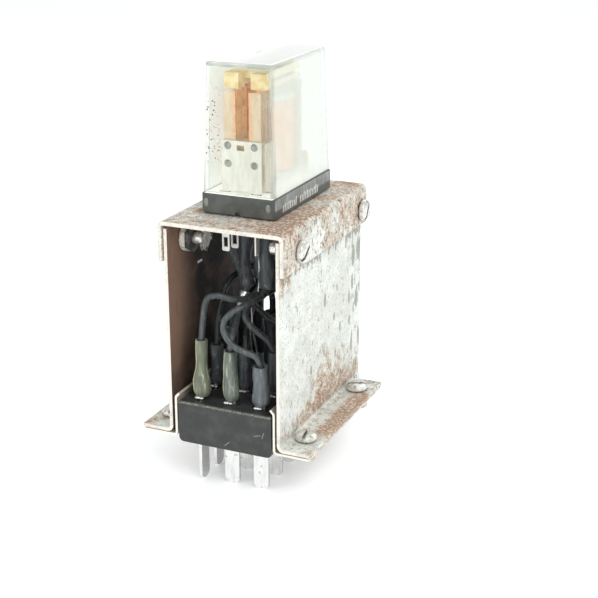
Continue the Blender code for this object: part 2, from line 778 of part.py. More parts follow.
def fixed_contact(name, side, tail_x, y, contact_end, metal, twisted=False):
    """Fixed contact strip with its contact button and its solder tail."""
    bm = bmesh.new()
    extrude(bm, strip_outline(side, tail_x, STRIP_TOP), "y", y - STRIP_T / 2.0, y + STRIP_T / 2.0)
    obj = add_object(name, bm, metal)
    button = bmesh.new()
    centre_x = side * (STRIP_X[0] + STRIP_X[1]) / 2.0
    low, high = sorted((y, contact_end))
    extrude(button, circle(centre_x, CONTACT_Z, CONTACT_R, 12), "y", low, high)
    join(obj, button)
    if not twisted:
        pierce_lug(obj, tail_x, y)
        return
    # the tail below the base is turned edge-on
    trim = bmesh.new()
    twist_z = BOSS_BOTTOM - 0.8
    box(trim, (tail_x - 2.0, y - 1.0, TAIL_BOTTOM - 1.0), (tail_x + 2.0, y + 1.0, twist_z))
    cut(obj, trim)
    lug = bmesh.new()
    half_t = STRIP_T / 2.0
    low = (tail_x - half_t, y - TAIL_HALF_W, TAIL_BOTTOM)
    box(lug, low, (tail_x + half_t, y + TAIL_HALF_W, twist_z + 0.4))
    join(obj, lug)


def common_terminal(name, side, tail_x, metal):
    bm = bmesh.new()
    outline = strip_outline(side, tail_x, STACK_TOP)
    extrude(bm, outline, "y", COMMON_Y - STRIP_T / 2.0, COMMON_Y + STRIP_T / 2.0)
    obj = add_object(name, bm, metal)
    pierce_lug(obj, tail_x, COMMON_Y)


def moving_leaf(name, side, bronze):
    """Spring leaf that flexes about its root above the stack, with a contact on each face."""
    inner, outer = STRIP_X
    outline = [
        (inner, LEAF_ROOT_Z),
        (outer, LEAF_ROOT_Z),
        (outer, STRIP_TOP - 0.6),
        (TONGUE_X[1], STRIP_TOP),
        (TONGUE_X[1], LEAF_TOP),
        (TONGUE_X[0], LEAF_TOP),
        (TONGUE_X[0], STRIP_TOP),
        (inner, STRIP_TOP - 0.6),
    ]
    bm = bmesh.new()
    extrude(bm, mirrored(outline, side), "y", COMMON_Y - LEAF_T / 2.0, COMMON_Y + LEAF_T / 2.0)
    obj = add_object(name, bm, bronze)
    button = bmesh.new()
    centre_x = side * (inner + outer) / 2.0
    reach = LEAF_T / 2.0 + LEAF_CONTACT_T
    extrude(button, circle(centre_x, CONTACT_Z, CONTACT_R, 12), "y", COMMON_Y - reach, COMMON_Y + reach)
    join(obj, button)


def coil_terminal(name, side, metal):
    x = side * COIL_TAIL_X
    outline = [
        (x - TAIL_HALF_W + 0.3, TAIL_BOTTOM),
        (x + TAIL_HALF_W - 0.3, TAIL_BOTTOM),
        (x + TAIL_HALF_W, TAIL_BOTTOM + 0.3),
        (x + TAIL_HALF_W, COIL_TERMINAL_TOP - 1.0),
        (x + 0.5, COIL_TERMINAL_TOP),
        (x - 0.5, COIL_TERMINAL_TOP),
        (x - TAIL_HALF_W, COIL_TERMINAL_TOP - 1.0),
        (x - TAIL_HALF_W, TAIL_BOTTOM + 0.3),
    ]
    bm = bmesh.new()
    extrude(bm, outline, "y", COIL_TAIL_Y - STRIP_T / 2.0, COIL_TAIL_Y + STRIP_T / 2.0)
    obj = add_object(name, bm, metal)
    pierce_lug(obj, x, COIL_TAIL_Y)


def contact_card(amber):
    """Amber lifting card: two slotted fingers on the leaves, a bridge over the coil and a riser."""
    bm = bmesh.new()
    box(bm, (-CARD_X[1], CARD_Y[1] - 0.6, CARD_PLATE_Z), (CARD_X[1], CARD_BACK_Y, CARD_Z[1]))
    obj = add_object("contact_card", bm, amber)
    for side in (-1, 1):
        finger = bmesh.new()
        low_x, high_x = sorted((side * CARD_X[0], side * CARD_X[1]))
        box(finger, (low_x, CARD_Y[0], CARD_Z[0]), (high_x, CARD_Y[1], CARD_Z[1] + 0.001))
        join(obj, finger)
    riser = bmesh.new()
    box(riser, (-ARM_HALF_W, CARD_BACK_Y - 1.5, CARD_Z[1] - 0.5), (ARM_HALF_W, CARD_BACK_Y, CARD_RISER_TOP))
    join(obj, riser)
    slots = bmesh.new()
    for side in (-1, 1):
        low_x, high_x = sorted((side * (TONGUE_X[0] - GAP), side * (TONGUE_X[1] + GAP)))
        low = (low_x, COMMON_Y - LEAF_T / 2.0 - GAP, CARD_Z[0] - 1.0)
        box(slots, low, (high_x, COMMON_Y + LEAF_T / 2.0 + GAP, CARD_Z[1] + 1.0))
    cut(obj, slots)


# ---------------------------------------------------------------- leads
def row_y(row):
    return FIRST_ROW_Y + row * BLADE_PITCH


# name: (relay end or None, wire's way points, plug end), the ends as (x, y, sleeve end z)
LEADS = {
    "lead_front_left": (
        (NC_TAIL_X["right"], NC_Y, 50.0),
        [(1.5, -8.6, 47.4), (0.9, -12.2, 46.2), (-1.6, -16.2, 46.7), (-5.0, -18.6, 47.9), (-7.2, -20.0, 46.2)],
        (BLADE_COLUMNS[0], row_y(0), 37.0),
    ),
    "lead_front_right": (
        (COMMON_TAIL_X["right"], COMMON_Y, 48.8),
        [(4.5, -12.0, 47.2), (4.3, -16.0, 47.2), (3.5, -19.8, 47.0), (1.4, -22.4, 46.0), (-0.3, -23.2, 43.9),
         (-0.6, -23.6, 41.9), (0.4, -23.7, 39.5), (2.4, -23.4, 37.5), (5.0, -22.8, 36.3), (7.2, -21.8, 35.0)],
        (BLADE_COLUMNS[2], row_y(0), 32.6),
    ),
    "lead_front_middle": (
        (NC_TAIL_X["left"], NC_Y, 48.5),
        [(-1.2, -11.6, 45.2), (-1.4, -14.2, 41.8), (-0.6, -17.6, 39.8), (-0.1, -20.4, 38.2)],
        (BLADE_COLUMNS[1], row_y(0), 35.4),
    ),
    "lead_second_middle": (
        (-COIL_TAIL_X, COIL_TAIL_Y, 51.0),
        [(-4.8, 11.0, 46.0), (-4.4, 5.0, 42.0), (-3.0, -3.0, 40.0), (-1.2, -9.5, 37.5)],
        (BLADE_COLUMNS[1], row_y(1), 32.4),
    ),
    "lead_second_right": (
        (COIL_TAIL_X, COIL_TAIL_Y, 51.0),
        [(5.2, 9.0, 47.2), (5.2, 5.0, 46.4), (3.2, -2.0, 45.6), (0.8, -9.5, 44.6), (0.4, -13.8, 42.4),
         (2.0, -14.8, 40.2), (4.4, -14.6, 38.2), (6.6, -14.0, 36.4)],
        (BLADE_COLUMNS[2], row_y(1), 33.4),
    ),
    "lead_link": (
        (BLADE_COLUMNS[0], row_y(1), 33.0),
        [(-7.9, -11.6, 41.0), (-7.4, -7.0, 47.6), (-3.4, -1.6, 50.6), (3.0, 0.2, 50.2), (7.6, -2.4, 45.4)],
        (BLADE_COLUMNS[2], row_y(2), 33.0),
    ),
}


def catmull_rom(points, steps):
    """Smooth curve through the points, with `steps` pieces between neighbours."""
    padded = [points[0]] + points + [points[-1]]
    result = []
    for p0, p1, p2, p3 in zip(padded, padded[1:], padded[2:], padded[3:]):
        for i in range(steps):
            t = i / steps
            blend = 2.0 * p1 + (p2 - p0) * t + (2.0 * p0 - 5.0 * p1 + 4.0 * p2 - p3) * t * t
            result.append((blend + (3.0 * p1 - p0 - 3.0 * p2 + p3) * t ** 3) / 2.0)
    return result + [points[-1]]


def lead(name, relay_end, way, plug_end, pvc):
    """One hook-up wire with a heat-shrink sleeve on each end, pocketed for the tail it covers."""
    ends = []
    for x, y, sleeve_end in (relay_end, plug_end):
        on_plug = sleeve_end < LEAD_SPLIT_Z
        lean_x, lean_y = (0.0, 0.0) if on_plug else SLEEVE_LEAN.get(name, (0.0, 0.0))
        root = Vector((x, y, SLEEVE_Z[0] if on_plug else SLEEVE_Z[1]))
        knee = Vector((x, y, SLEEVE_KNEE_Z[0] if on_plug else SLEEVE_KNEE_Z[1]))
        tip = Vector((x + lean_x, y + lean_y, sleeve_end))
        neck = tip.lerp(knee, SLEEVE_TAPER / (tip - knee).length)
        ends.append((root, knee, neck, tip))
    relay_sleeve, plug_sleeve = ends
    wire = catmull_rom([relay_sleeve[-1]] + [Vector(point) for point in way] + [plug_sleeve[-1]], 4)
    points = [*relay_sleeve[:-1], *wire, *reversed(plug_sleeve[:-1])]
    sleeve_radii = [SLEEVE_R, SLEEVE_R, SLEEVE_TIP_R]
    radii = sleeve_radii + [WIRE_R] * len(wire) + sleeve_radii[::-1]
    bm = bmesh.new()
    sweep(bm, points, radii, 8)
    obj = add_object(name, bm, pvc, smooth_deg=40)
    pockets = bmesh.new()
    for start in (relay_sleeve[0], plug_sleeve[0]):
        on_plug = start.z < LEAD_SPLIT_Z
        edge_on = on_plug and abs(start.x - BLADE_COLUMNS[0]) < 0.1
        half = (TAIL_W / 2.0 if on_plug else TAIL_HALF_W) + GAP
        thin = (BLADE_T / 2.0 if on_plug else STRIP_T / 2.0) + GAP
        half_x, half_y = (thin, half) if edge_on else (half, thin)
        low_z, high_z = (start.z - 1.0, BLADE_TOP + GAP) if on_plug else (TAIL_BOTTOM - GAP, start.z + 1.0)
        box(pockets, (start.x - half_x, start.y - half_y, low_z), (start.x + half_x, start.y + half_y, high_z))
    cut(obj, pockets)


# ---------------------------------------------------------------- assembly
def build():
    clear_scene()
    rusty = make_material("rusted_zinc_steel", (0.62, 0.60, 0.54), 0.62, 0.35)
    bracket_steel = make_material("bracket_steel", (0.70, 0.66, 0.58), 0.45, 0.6)
    nickel = make_material("nickel", (0.72, 0.72, 0.70), 0.28, 1.0)
    silver = make_material("silver_plate", (0.86, 0.86, 0.85), 0.25, 1.0)
    bakelite = make_material("black_phenolic", (0.035, 0.037, 0.036), 0.42)
    moulding = make_material("relay_moulding", (0.07, 0.075, 0.07), 0.4)
    clear = make_material("clear_cover", (0.93, 0.95, 0.94), 0.08, 0.0, 0.22)
    iron = make_material("soft_iron", (0.60, 0.60, 0.56), 0.4, 0.8)
    nylon = make_material("bobbin_nylon", (0.80, 0.76, 0.66), 0.5)
    copper = make_material("coil_tape", (0.80, 0.36, 0.10), 0.35)
    bronze = make_material("phosphor_bronze", (0.72, 0.46, 0.30), 0.35, 0.9)
    phenolic = make_material("stack_phenolic", (0.62, 0.55, 0.42), 0.5)
    amber = make_material("amber_card", (0.86, 0.62, 0.22), 0.35)
    pvc = make_material("wire_sleeving", (0.05, 0.06, 0.06), 0.45)

    cap_bracket(rusty)
    side_wall("left_wall", -1, rusty)
    side_wall("right_wall", 1, rusty)
    plug_bracket("plug_bracket_left", -1, bracket_steel)
    plug_bracket("plug_bracket_right", 1, bracket_steel)
    plug_body(bakelite)

    wall_grip = CAP_W / 2.0 - CAP_SCREW_END
    foot_seat = FOOT_Z + WALL_T
    for side, side_name in ((-1, "left"), (1, "right")):
        for index, end_name in enumerate(("front", "rear")):
            where = f"{side_name}_{end_name}"
            cap_y = CAP_SCREW_Y[index]
            tilt = 62 if index else 38
            screw(f"cap_screw_{where}", "x", cap_y, CAP_SCREW_Z, side * CAP_W / 2.0, side, wall_grip, tilt, nickel)
            nut(f"cap_nut_{where}", side, cap_y, nickel)
            turn_deg = 25 if index else 100
            foot_y = FOOT_SCREW_Y[index]
            name = f"foot_screw_{where}"
            screw(name, "z", side * FOOT_SCREW_X, foot_y, foot_seat, 1, FOOT_SCREW_L, turn_deg, nickel)

    for row, column, x, y in blade_sites():
        plug_blade(row, column, x, y, silver)

    relay_base(moulding)
    relay_cover(clear)
    yoke(iron)
    magnet(iron, nylon, copper)
    armature(iron)
    return_spring(nickel)
    contact_card(amber)
    clamp_plate(iron)
    stack_insulator(phenolic)

    leaf_face = LEAF_T / 2.0 + LEAF_CONTACT_T
    for side, side_name in ((-1, "left"), (1, "right")):
        front_end = COMMON_Y - leaf_face - CONTACT_GAP
        fixed_contact(f"no_contact_{side_name}", side, NO_TAIL_X[side_name], NO_Y, front_end, silver,
                      twisted=side_name == "right")
        back_end = COMMON_Y + leaf_face + GAP
        fixed_contact(f"nc_contact_{side_name}", side, NC_TAIL_X[side_name], NC_Y, back_end, silver)
        common_terminal(f"common_terminal_{side_name}", side, COMMON_TAIL_X[side_name], silver)
        moving_leaf(f"moving_leaf_{side_name}", side, bronze)
        coil_terminal(f"coil_terminal_{side_name}", side, silver)

    for name, (relay_end, way, plug_end) in LEADS.items():
        lead(name, relay_end, way, plug_end, pvc)


build()
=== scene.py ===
"""Looks of the plug in relay: materials, wiring, cover haze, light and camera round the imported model."""
import math
import random

import bmesh
import bpy
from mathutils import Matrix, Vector


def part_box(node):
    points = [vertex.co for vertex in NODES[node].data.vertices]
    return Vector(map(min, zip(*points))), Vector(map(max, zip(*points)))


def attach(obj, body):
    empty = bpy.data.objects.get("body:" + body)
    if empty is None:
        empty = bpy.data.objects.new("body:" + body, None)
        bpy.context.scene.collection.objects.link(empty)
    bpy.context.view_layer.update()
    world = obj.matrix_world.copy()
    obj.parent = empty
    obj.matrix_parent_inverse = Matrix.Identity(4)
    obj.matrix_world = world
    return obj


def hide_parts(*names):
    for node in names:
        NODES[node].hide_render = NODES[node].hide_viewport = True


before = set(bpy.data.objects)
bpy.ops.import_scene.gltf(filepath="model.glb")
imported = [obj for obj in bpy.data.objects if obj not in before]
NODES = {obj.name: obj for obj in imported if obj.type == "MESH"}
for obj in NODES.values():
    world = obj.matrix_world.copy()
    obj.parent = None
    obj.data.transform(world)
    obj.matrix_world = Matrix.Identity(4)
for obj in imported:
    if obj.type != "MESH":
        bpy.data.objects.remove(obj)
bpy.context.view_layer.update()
MM = 0.001

# ---------------------------------------------------------------- dimensions shared with the model (mm)
BLADE_PITCH = 7.94
BLADE_COLUMNS = (-BLADE_PITCH, 0.0, BLADE_PITCH)
FIRST_ROW_Y = -21.1
WIRE_R = 0.78
SLEEVE_TOP_Z = 62.4
SLEEVE_BOTTOM_Z = 22.4
LEAD_SPLIT_Z = 42.0
CHASSIS = "chassis"


# ---------------------------------------------------------------- node material builder
class Graph:
    """Builds one procedural material, in object coordinates (metres)."""

    def __init__(self, name):
        self.material = bpy.data.materials.new(name)
        self.material.use_nodes = True
        self.tree = self.material.node_tree
        self.shader = self.tree.nodes["Principled BSDF"]
        coords = self.tree.nodes.new("ShaderNodeTexCoord")
        self.point = coords.outputs["Object"]
        self.normal = coords.outputs["Normal"]
        self.parts = None

    def feed(self, socket, value):
        if isinstance(value, bpy.types.NodeSocket):
            self.tree.links.new(value, socket)
        elif isinstance(value, tuple) and len(value) == 3 and len(socket.default_value) == 4:
            socket.default_value = (*value, 1.0)
        else:
            socket.default_value = value

    def math(self, operation, a, b=0.0, clamp=False):
        node = self.tree.nodes.new("ShaderNodeMath")
        node.operation = operation
        node.use_clamp = clamp
        self.feed(node.inputs[0], a)
        self.feed(node.inputs[1], b)
        return node.outputs[0]

    def mul(self, a, b, clamp=False):
        return self.math("MULTIPLY", a, b, clamp)

    def add(self, a, b):
        return self.math("ADD", a, b)

    def sub(self, a, b):
        return self.math("SUBTRACT", a, b)

    def most(self, a, b, clamp=False):
        return self.math("MAXIMUM", a, b, clamp)

    def absolute(self, a):
        return self.math("ABSOLUTE", a)

    def axis(self, letter):
        """One object coordinate of the shaded point."""
        if not self.parts:
            self.parts = self.split(self.point)
        return self.parts[letter]

    def facing(self, letter):
        """One component of the surface normal."""
        return self.split(self.normal)[letter]

    def split(self, vector):
        node = self.tree.nodes.new("ShaderNodeSeparateXYZ")
        self.feed(node.inputs[0], vector)
        return node.outputs

    def stretch(self, x, y, z):
        """Object coordinates scaled per axis, for streaks."""
        node = self.tree.nodes.new("ShaderNodeMapping")
        node.inputs["Scale"].default_value = (x, y, z)
        self.feed(node.inputs["Vector"], self.point)
        return node.outputs[0]

    def noise(self, scale, detail=4.0, rough=0.55, vector=None, distortion=0.0):
        node = self.tree.nodes.new("ShaderNodeTexNoise")
        self.feed(node.inputs["Vector"], vector or self.point)
        node.inputs["Scale"].default_value = scale
        node.inputs["Detail"].default_value = detail
        node.inputs["Roughness"].default_value = rough
        node.inputs["Distortion"].default_value = distortion
        return node.outputs["Fac"]

    def cells(self, scale):
        node = self.tree.nodes.new("ShaderNodeTexVoronoi")
        self.feed(node.inputs["Vector"], self.point)
        node.inputs["Scale"].default_value = scale
        return node.outputs["Distance"]

    def ramp(self, value, low, high, out_low=0.0, out_high=1.0):
        """Smooth step from out_low to out_high as value runs from low to high."""
        node = self.tree.nodes.new("ShaderNodeMapRange")
        node.interpolation_type = "SMOOTHSTEP"
        self.feed(node.inputs["Value"], value)
        self.feed(node.inputs["From Min"], low)
        self.feed(node.inputs["From Max"], high)
        self.feed(node.inputs["To Min"], out_low)
        self.feed(node.inputs["To Max"], out_high)
        return node.outputs["Result"]

    def mix(self, factor, a, b):
        node = self.tree.nodes.new("ShaderNodeMix")
        node.data_type = "RGBA"
        self.feed(node.inputs[0], factor)
        self.feed(node.inputs[6], a)
        self.feed(node.inputs[7], b)
        return node.outputs[2]

    def bump(self, height, distance, strength=1.0):
        node = self.tree.nodes.new("ShaderNodeBump")
        node.inputs["Strength"].default_value = strength
        node.inputs["Distance"].default_value = distance
        self.feed(node.inputs["Height"], height)
        self.feed(self.shader.inputs["Normal"], node.outputs[0])

    def finish(self, color, roughness, metallic=0.0, **more):
        self.feed(self.shader.inputs["Base Color"], color)
        self.feed(self.shader.inputs["Roughness"], roughness)
        self.feed(self.shader.inputs["Metallic"], metallic)
        for name, value in more.items():
            self.feed(self.shader.inputs[name.replace("_", " ").title().replace("Ior", "IOR")], value)
        return self.material


# ---------------------------------------------------------------- metal
WALL_PLATING = ((0.68, 0.70, 0.64), (0.82, 0.84, 0.79))
CAP_PLATING = ((0.66, 0.65, 0.57), (0.86, 0.86, 0.80))
FLAKE = (0.24, 0.26, 0.21)
STAIN = (0.62, 0.52, 0.42)
BROWN = (0.42, 0.28, 0.20)
RED_RUST = (0.38, 0.18, 0.11)
GRIT = (0.18, 0.125, 0.09)
CREAM = (0.84, 0.80, 0.71)
INNER_BROWN = (0.230, 0.140, 0.098)
# the next colour is painted shade for the deep inside of the walls
INNER_PAINTED_SHADE = (0.012, 0.011, 0.011)
INNER_TAN = (0.17, 0.11, 0.08)


def sheet_metal(name, plating, rust_mask, flake_mask, pepper, grain_scale, inner_side=0):
    """Plated sheet steel: worn plating, a tan stain and rust where rust_mask says, flakes, cream cut edges.

    pepper is how strongly dark grit shows everywhere, in grains of 1 / grain_scale metres.
    inner_side is the sign of the X direction that the inner face looks in, or 0; that face is brown near the
    front and higher up, and painted shade makes it near black deeper in and lower down.
    """
    g = Graph(name)
    x, y, z = g.axis("X"), g.axis("Y"), g.axis("Z")
    nx, ny = g.facing("X"), g.facing("Y")
    clouds = g.noise(110.0, 6.0, 0.65)
    grain = g.noise(1500.0, 3.0, 0.7)
    scale = g.noise(380.0, 6.0, 0.7)
    fine = g.noise(1300.0, 4.0, 0.7)
    base = g.mix(g.ramp(clouds, 0.38, 0.62), *plating)
    base = g.mix(g.ramp(grain, 0.50, 0.72, 0.0, 0.35), base, FLAKE)
    dashes = g.noise(1.0, 4.0, 0.65, g.stretch(560.0, 560.0, 180.0), 0.5)
    flakes = g.ramp(g.add(dashes, flake_mask(g, x, y, z)), 0.66, 0.69)
    base = g.mix(g.mul(flakes, 0.8), base, FLAKE)
    ragged = g.add(rust_mask(g, x, y, z), g.mul(g.sub(scale, 0.5), 1.9))
    ragged = g.add(ragged, g.mul(g.sub(fine, 0.5), 1.0))
    stain = g.ramp(ragged, 0.34, 0.50)
    rust = g.ramp(ragged, 0.56, 0.90)
    color = g.mix(g.mul(stain, 0.85), base, STAIN)
    color = g.mix(rust, color, BROWN)
    red = g.mul(g.ramp(g.noise(650.0, 5.0, 0.7), 0.52, 0.66), rust)
    color = g.mix(g.mul(red, 0.8), color, RED_RUST)
    granules = g.noise(grain_scale * 1.3, 4.0, 0.6)
    color = g.mix(g.mul(g.ramp(granules, 0.53, 0.61, 0.0, 0.75), stain), color, CREAM)
    pits = g.mul(g.ramp(granules, 0.44, 0.37, 0.0, 0.75), stain)
    color = g.mix(pits, color, FLAKE)
    grit = g.mul(g.ramp(g.noise(grain_scale, 4.0, 0.75), 0.535, 0.61), g.ramp(scale, 0.36, 0.54))
    color = g.mix(g.mul(grit, pepper), color, GRIT)
    if inner_side:
        inside = g.ramp(g.mul(nx, float(inner_side)), 0.5, 0.8)
        # painted shade: the inner face is near black with a little brown, and its brown shows only near the
        # front and higher up
        inner = g.mix(g.ramp(g.noise(140.0, 6.0), 0.40, 0.75, 0.0, 0.5), INNER_PAINTED_SHADE, INNER_BROWN)
        painted_front_light = g.mul(g.ramp(y, -0.0090, -0.0215), g.ramp(z, 0.020, 0.042, 0.2, 1.0))
        inner = g.mix(painted_front_light, inner, INNER_BROWN)
        inner = g.mix(g.ramp(fine, 0.58, 0.74, 0.0, 0.35), inner, INNER_TAN)
        scrape = g.add(scrape_mask(g, y, z), g.mul(g.sub(fine, 0.5), 1.6))
        inner = g.mix(g.ramp(scrape, 0.42, 0.54), inner, (0.95, 0.95, 0.88))
        color = g.mix(inside, color, inner)
    edge = g.mul(g.ramp(g.absolute(ny), 0.6, 0.9), g.ramp(fine, 0.56, 0.68, 0.92, 0.35))
    color = g.mix(edge, color, CREAM)
    roughness = g.ramp(stain, 0.0, 1.0, 0.42, 0.85)
    metallic = g.mul(g.sub(1.0, stain), 0.15)
    if inner_side:
        roughness = g.most(roughness, g.mul(inside, 0.8))
        metallic = g.mul(metallic, g.sub(1.0, inside))
    relief = g.add(g.mul(scale, stain), g.mul(granules, 0.25))
    relief = g.sub(relief, g.mul(flakes, 0.4))
    g.bump(relief, 0.00022, 0.8)
    return g.finish(color, roughness, metallic, specular_ior_level=0.3)


def spot(g, y, z, centre, reach):
    """1 at a centre in the YZ plane, falling to 0 at reach (all in metres)."""
    dy = g.sub(y, centre[0])
    dz = g.sub(z, centre[1])
    distance = g.math("SQRT", g.add(g.mul(dy, dy), g.mul(dz, dz)))
    return g.ramp(distance, 0.0, reach, 1.0, 0.0)


SCRAPE_AT = (-0.0061, 0.0582)  # y and z
SCRATCH_AT = (-0.0094, 0.0528)


def scrape_mask(g, y, z):
    """The bright scraped patch round the ground screw, and a short scratch under it."""
    patch = spot(g, y, z, SCRAPE_AT, 0.0062)
    along = g.mul(g.sub(y, SCRATCH_AT[0]), 0.3)
    scratch = spot(g, g.add(along, SCRATCH_AT[0]), z, SCRATCH_AT, 0.0007)
    return g.most(patch, scratch)


def cap_rust(g, x, y, z):
    """Rust over most of the cap, with clearer patches behind the relay and along the flanks."""
    flank = g.ramp(g.absolute(x), 0.0150, 0.0162)
    clouds = g.noise(75.0, 3.0)
    top = g.add(0.37, g.ramp(clouds, 0.42, 0.60, 0.0, 0.40))
    clear_back = g.mul(g.ramp(y, 0.015, 0.020), g.ramp(x, 0.002, 0.012, 1.0, 0.0))
    top = g.sub(top, g.mul(clear_back, 0.62))
    right_front = g.mul(g.ramp(x, 0.006, 0.012), g.ramp(y, 0.002, -0.010))
    back_corner = g.mul(g.ramp(x, 0.004, 0.012), g.ramp(y, 0.016, 0.023))
    top = g.add(top, g.mul(g.most(right_front, back_corner), 0.35))
    clean = spot(g, y, z, (-0.0085, 0.0625), 0.0080)
    side = g.add(0.38, g.ramp(clouds, 0.40, 0.60, -0.10, 0.30))
    side = g.sub(side, g.mul(clean, 0.75))
    top = g.mul(top, g.sub(1.0, flank))
    return g.add(top, g.mul(side, flank))


def wall_rust(g, x, y, z):
    """Rust that creeps up from the foot in a hump, drips from under the cap and patches the foot."""
    depth = g.math("DIVIDE", g.sub(y, 0.004), 0.016)
    hump = g.math("EXPONENT", g.mul(g.mul(depth, depth), -1.0))
    drip = g.noise(1.0, 3.0, 0.6, g.stretch(500.0, 500.0, 90.0))
    line = g.add(0.0165, g.mul(hump, 0.0125))
    spikes = g.mul(g.sub(drip, 0.5), 0.022)
    height = g.add(g.sub(z, line), spikes)
    creep = g.ramp(height, -0.008, 0.006, 0.86, 0.0)
    thin = g.mul(g.ramp(g.noise(260.0, 3.0), 0.42, 0.60, 0.0, 0.42), g.ramp(z, 0.0160, 0.0215))
    creep = g.sub(creep, thin)
    crease = g.mul(g.ramp(z, 0.0165, 0.0212, 0.56, 0.10), g.ramp(y, -0.024, -0.012, 0.62, 1.0))
    creep = g.most(creep, crease)
    near_front = g.ramp(y, -0.012, -0.021, 0.95, 1.0)
    reach = g.ramp(y, -0.012, -0.021, 0.0540, 0.0495)
    under_cap = g.mul(g.ramp(z, reach, g.add(reach, 0.0045)), g.ramp(drip, 0.42, 0.58, 0.15, 1.0))
    under_cap = g.mul(under_cap, near_front)
    foot = g.ramp(z, 0.0141, 0.0146, 1.0, 0.0)
    outer_edge = g.ramp(g.absolute(x), 0.0178, 0.0196, 0.30, 1.0)
    along = g.mul(g.ramp(y, -0.0160, -0.0120, 0.35, 1.0), g.ramp(y, 0.0120, 0.0165, 1.0, 0.28))
    along = g.most(along, g.ramp(x, -0.0140, -0.0160, 0.0, 0.6))
    on_foot = g.mul(g.mul(foot, outer_edge), along)
    above_foot = g.mul(creep, g.ramp(z, 0.0143, 0.0155))
    return g.most(g.most(above_foot, on_foot), g.mul(under_cap, 0.85))


def cap_flakes(g, x, y, z):
    return g.ramp(g.absolute(x), 0.0150, 0.0162, 0.02, 0.04)


# Larger flakes on the outer face of a wall: middle in y and z, and half the length (m).
WALL_DASHES = (
    (0.0016, 0.0428, 0.0030), (0.0095, 0.0441, 0.0014), (0.0077, 0.0368, 0.0020), (0.0118, 0.0326, 0.0022),
    (0.0181, 0.0322, 0.0020), (0.0179, 0.0384, 0.0022), (0.0124, 0.0363, 0.0012), (0.0198, 0.0422, 0.0024),
    (-0.0062, 0.0344, 0.0013), (-0.0179, 0.0422, 0.0012), (-0.0070, 0.0272, 0.0018),
    (-0.0120, 0.0315, 0.0012), (0.0205, 0.0500, 0.0024), (0.0012, 0.0293, 0.0016),
)


DASH_SQUEEZE = 0.36  # width of a flake as a share of its height
DASH_REACH = 0.42  # how far a flake reaches from its middle, as a share of half its length


def wall_dashes(g, y, z):
    """1 in the middle of each larger flake, which is about three times as tall as it is wide."""
    total = None
    squeezed = g.mul(z, DASH_SQUEEZE)
    for middle_y, middle_z, half in WALL_DASHES:
        one = spot(g, y, squeezed, (middle_y, middle_z * DASH_SQUEEZE), half * DASH_REACH)
        total = one if total is None else g.most(total, one)
    return total


def wall_flakes(g, x, y, z):
    """Flaked plating, thickest along the back edge, in single dashes and under the cap's skirt."""
    back = g.ramp(y, 0.014, 0.024, 0.0, 0.14)
    patch = g.mul(wall_dashes(g, y, z), 0.50)
    skirt = g.mul(g.ramp(z, 0.0530, 0.0572, 0.0, 0.24), g.ramp(y, 0.014, -0.010, 0.7, 1.0))
    return g.add(g.add(g.add(back, patch), skirt), 0.015)


def bracket_steel():
    g = Graph("bracket_steel_worn")
    worn = g.noise(300.0, 5.0)
    color = g.mix(g.ramp(worn, 0.4, 0.65), (0.78, 0.73, 0.62), (0.55, 0.47, 0.37))
    color = g.mix(g.ramp(g.noise(1400.0, 3.0), 0.58, 0.68), color, (0.36, 0.26, 0.19))
    edge = g.ramp(g.absolute(g.facing("Y")), 0.6, 0.9)
    color = g.mix(edge, color, (0.90, 0.86, 0.76))
    g.bump(worn, 0.0001, 0.5)
    return g.finish(color, g.ramp(worn, 0.3, 0.7, 0.35, 0.6), 0.45)


def nickel(name="nickel_tarnished_painted_crevice_shade", tint=(0.80, 0.79, 0.74), dark=(0.42, 0.40, 0.34)):
    g = Graph(name)
    tarnish = g.noise(700.0, 5.0, 0.65)
    color = g.mix(g.ramp(tarnish, 0.48, 0.66), tint, dark)
    # painted shade: ambient occlusion darkens crevices and slots towards near black
    painted_crevice_shade = g.tree.nodes.new("ShaderNodeAmbientOcclusion")
    painted_crevice_shade.inputs["Distance"].default_value = 0.0011
    color = g.mix(g.ramp(painted_crevice_shade.outputs["AO"], 0.35, 0.85, 0.85, 0.0), color, (0.10, 0.09, 0.07))
    g.bump(g.noise(2600.0, 3.0), 0.00004, 0.5)
    return g.finish(color, g.ramp(tarnish, 0.3, 0.7, 0.22, 0.48), 0.8)


TAIL_SILVER = (0.90, 0.89, 0.83)
# the next colour is painted shade for the sides of the strips
STRIP_SIDE_SHADE = (0.50, 0.36, 0.22)
RELAY_FLOOR_Z = 0.0741


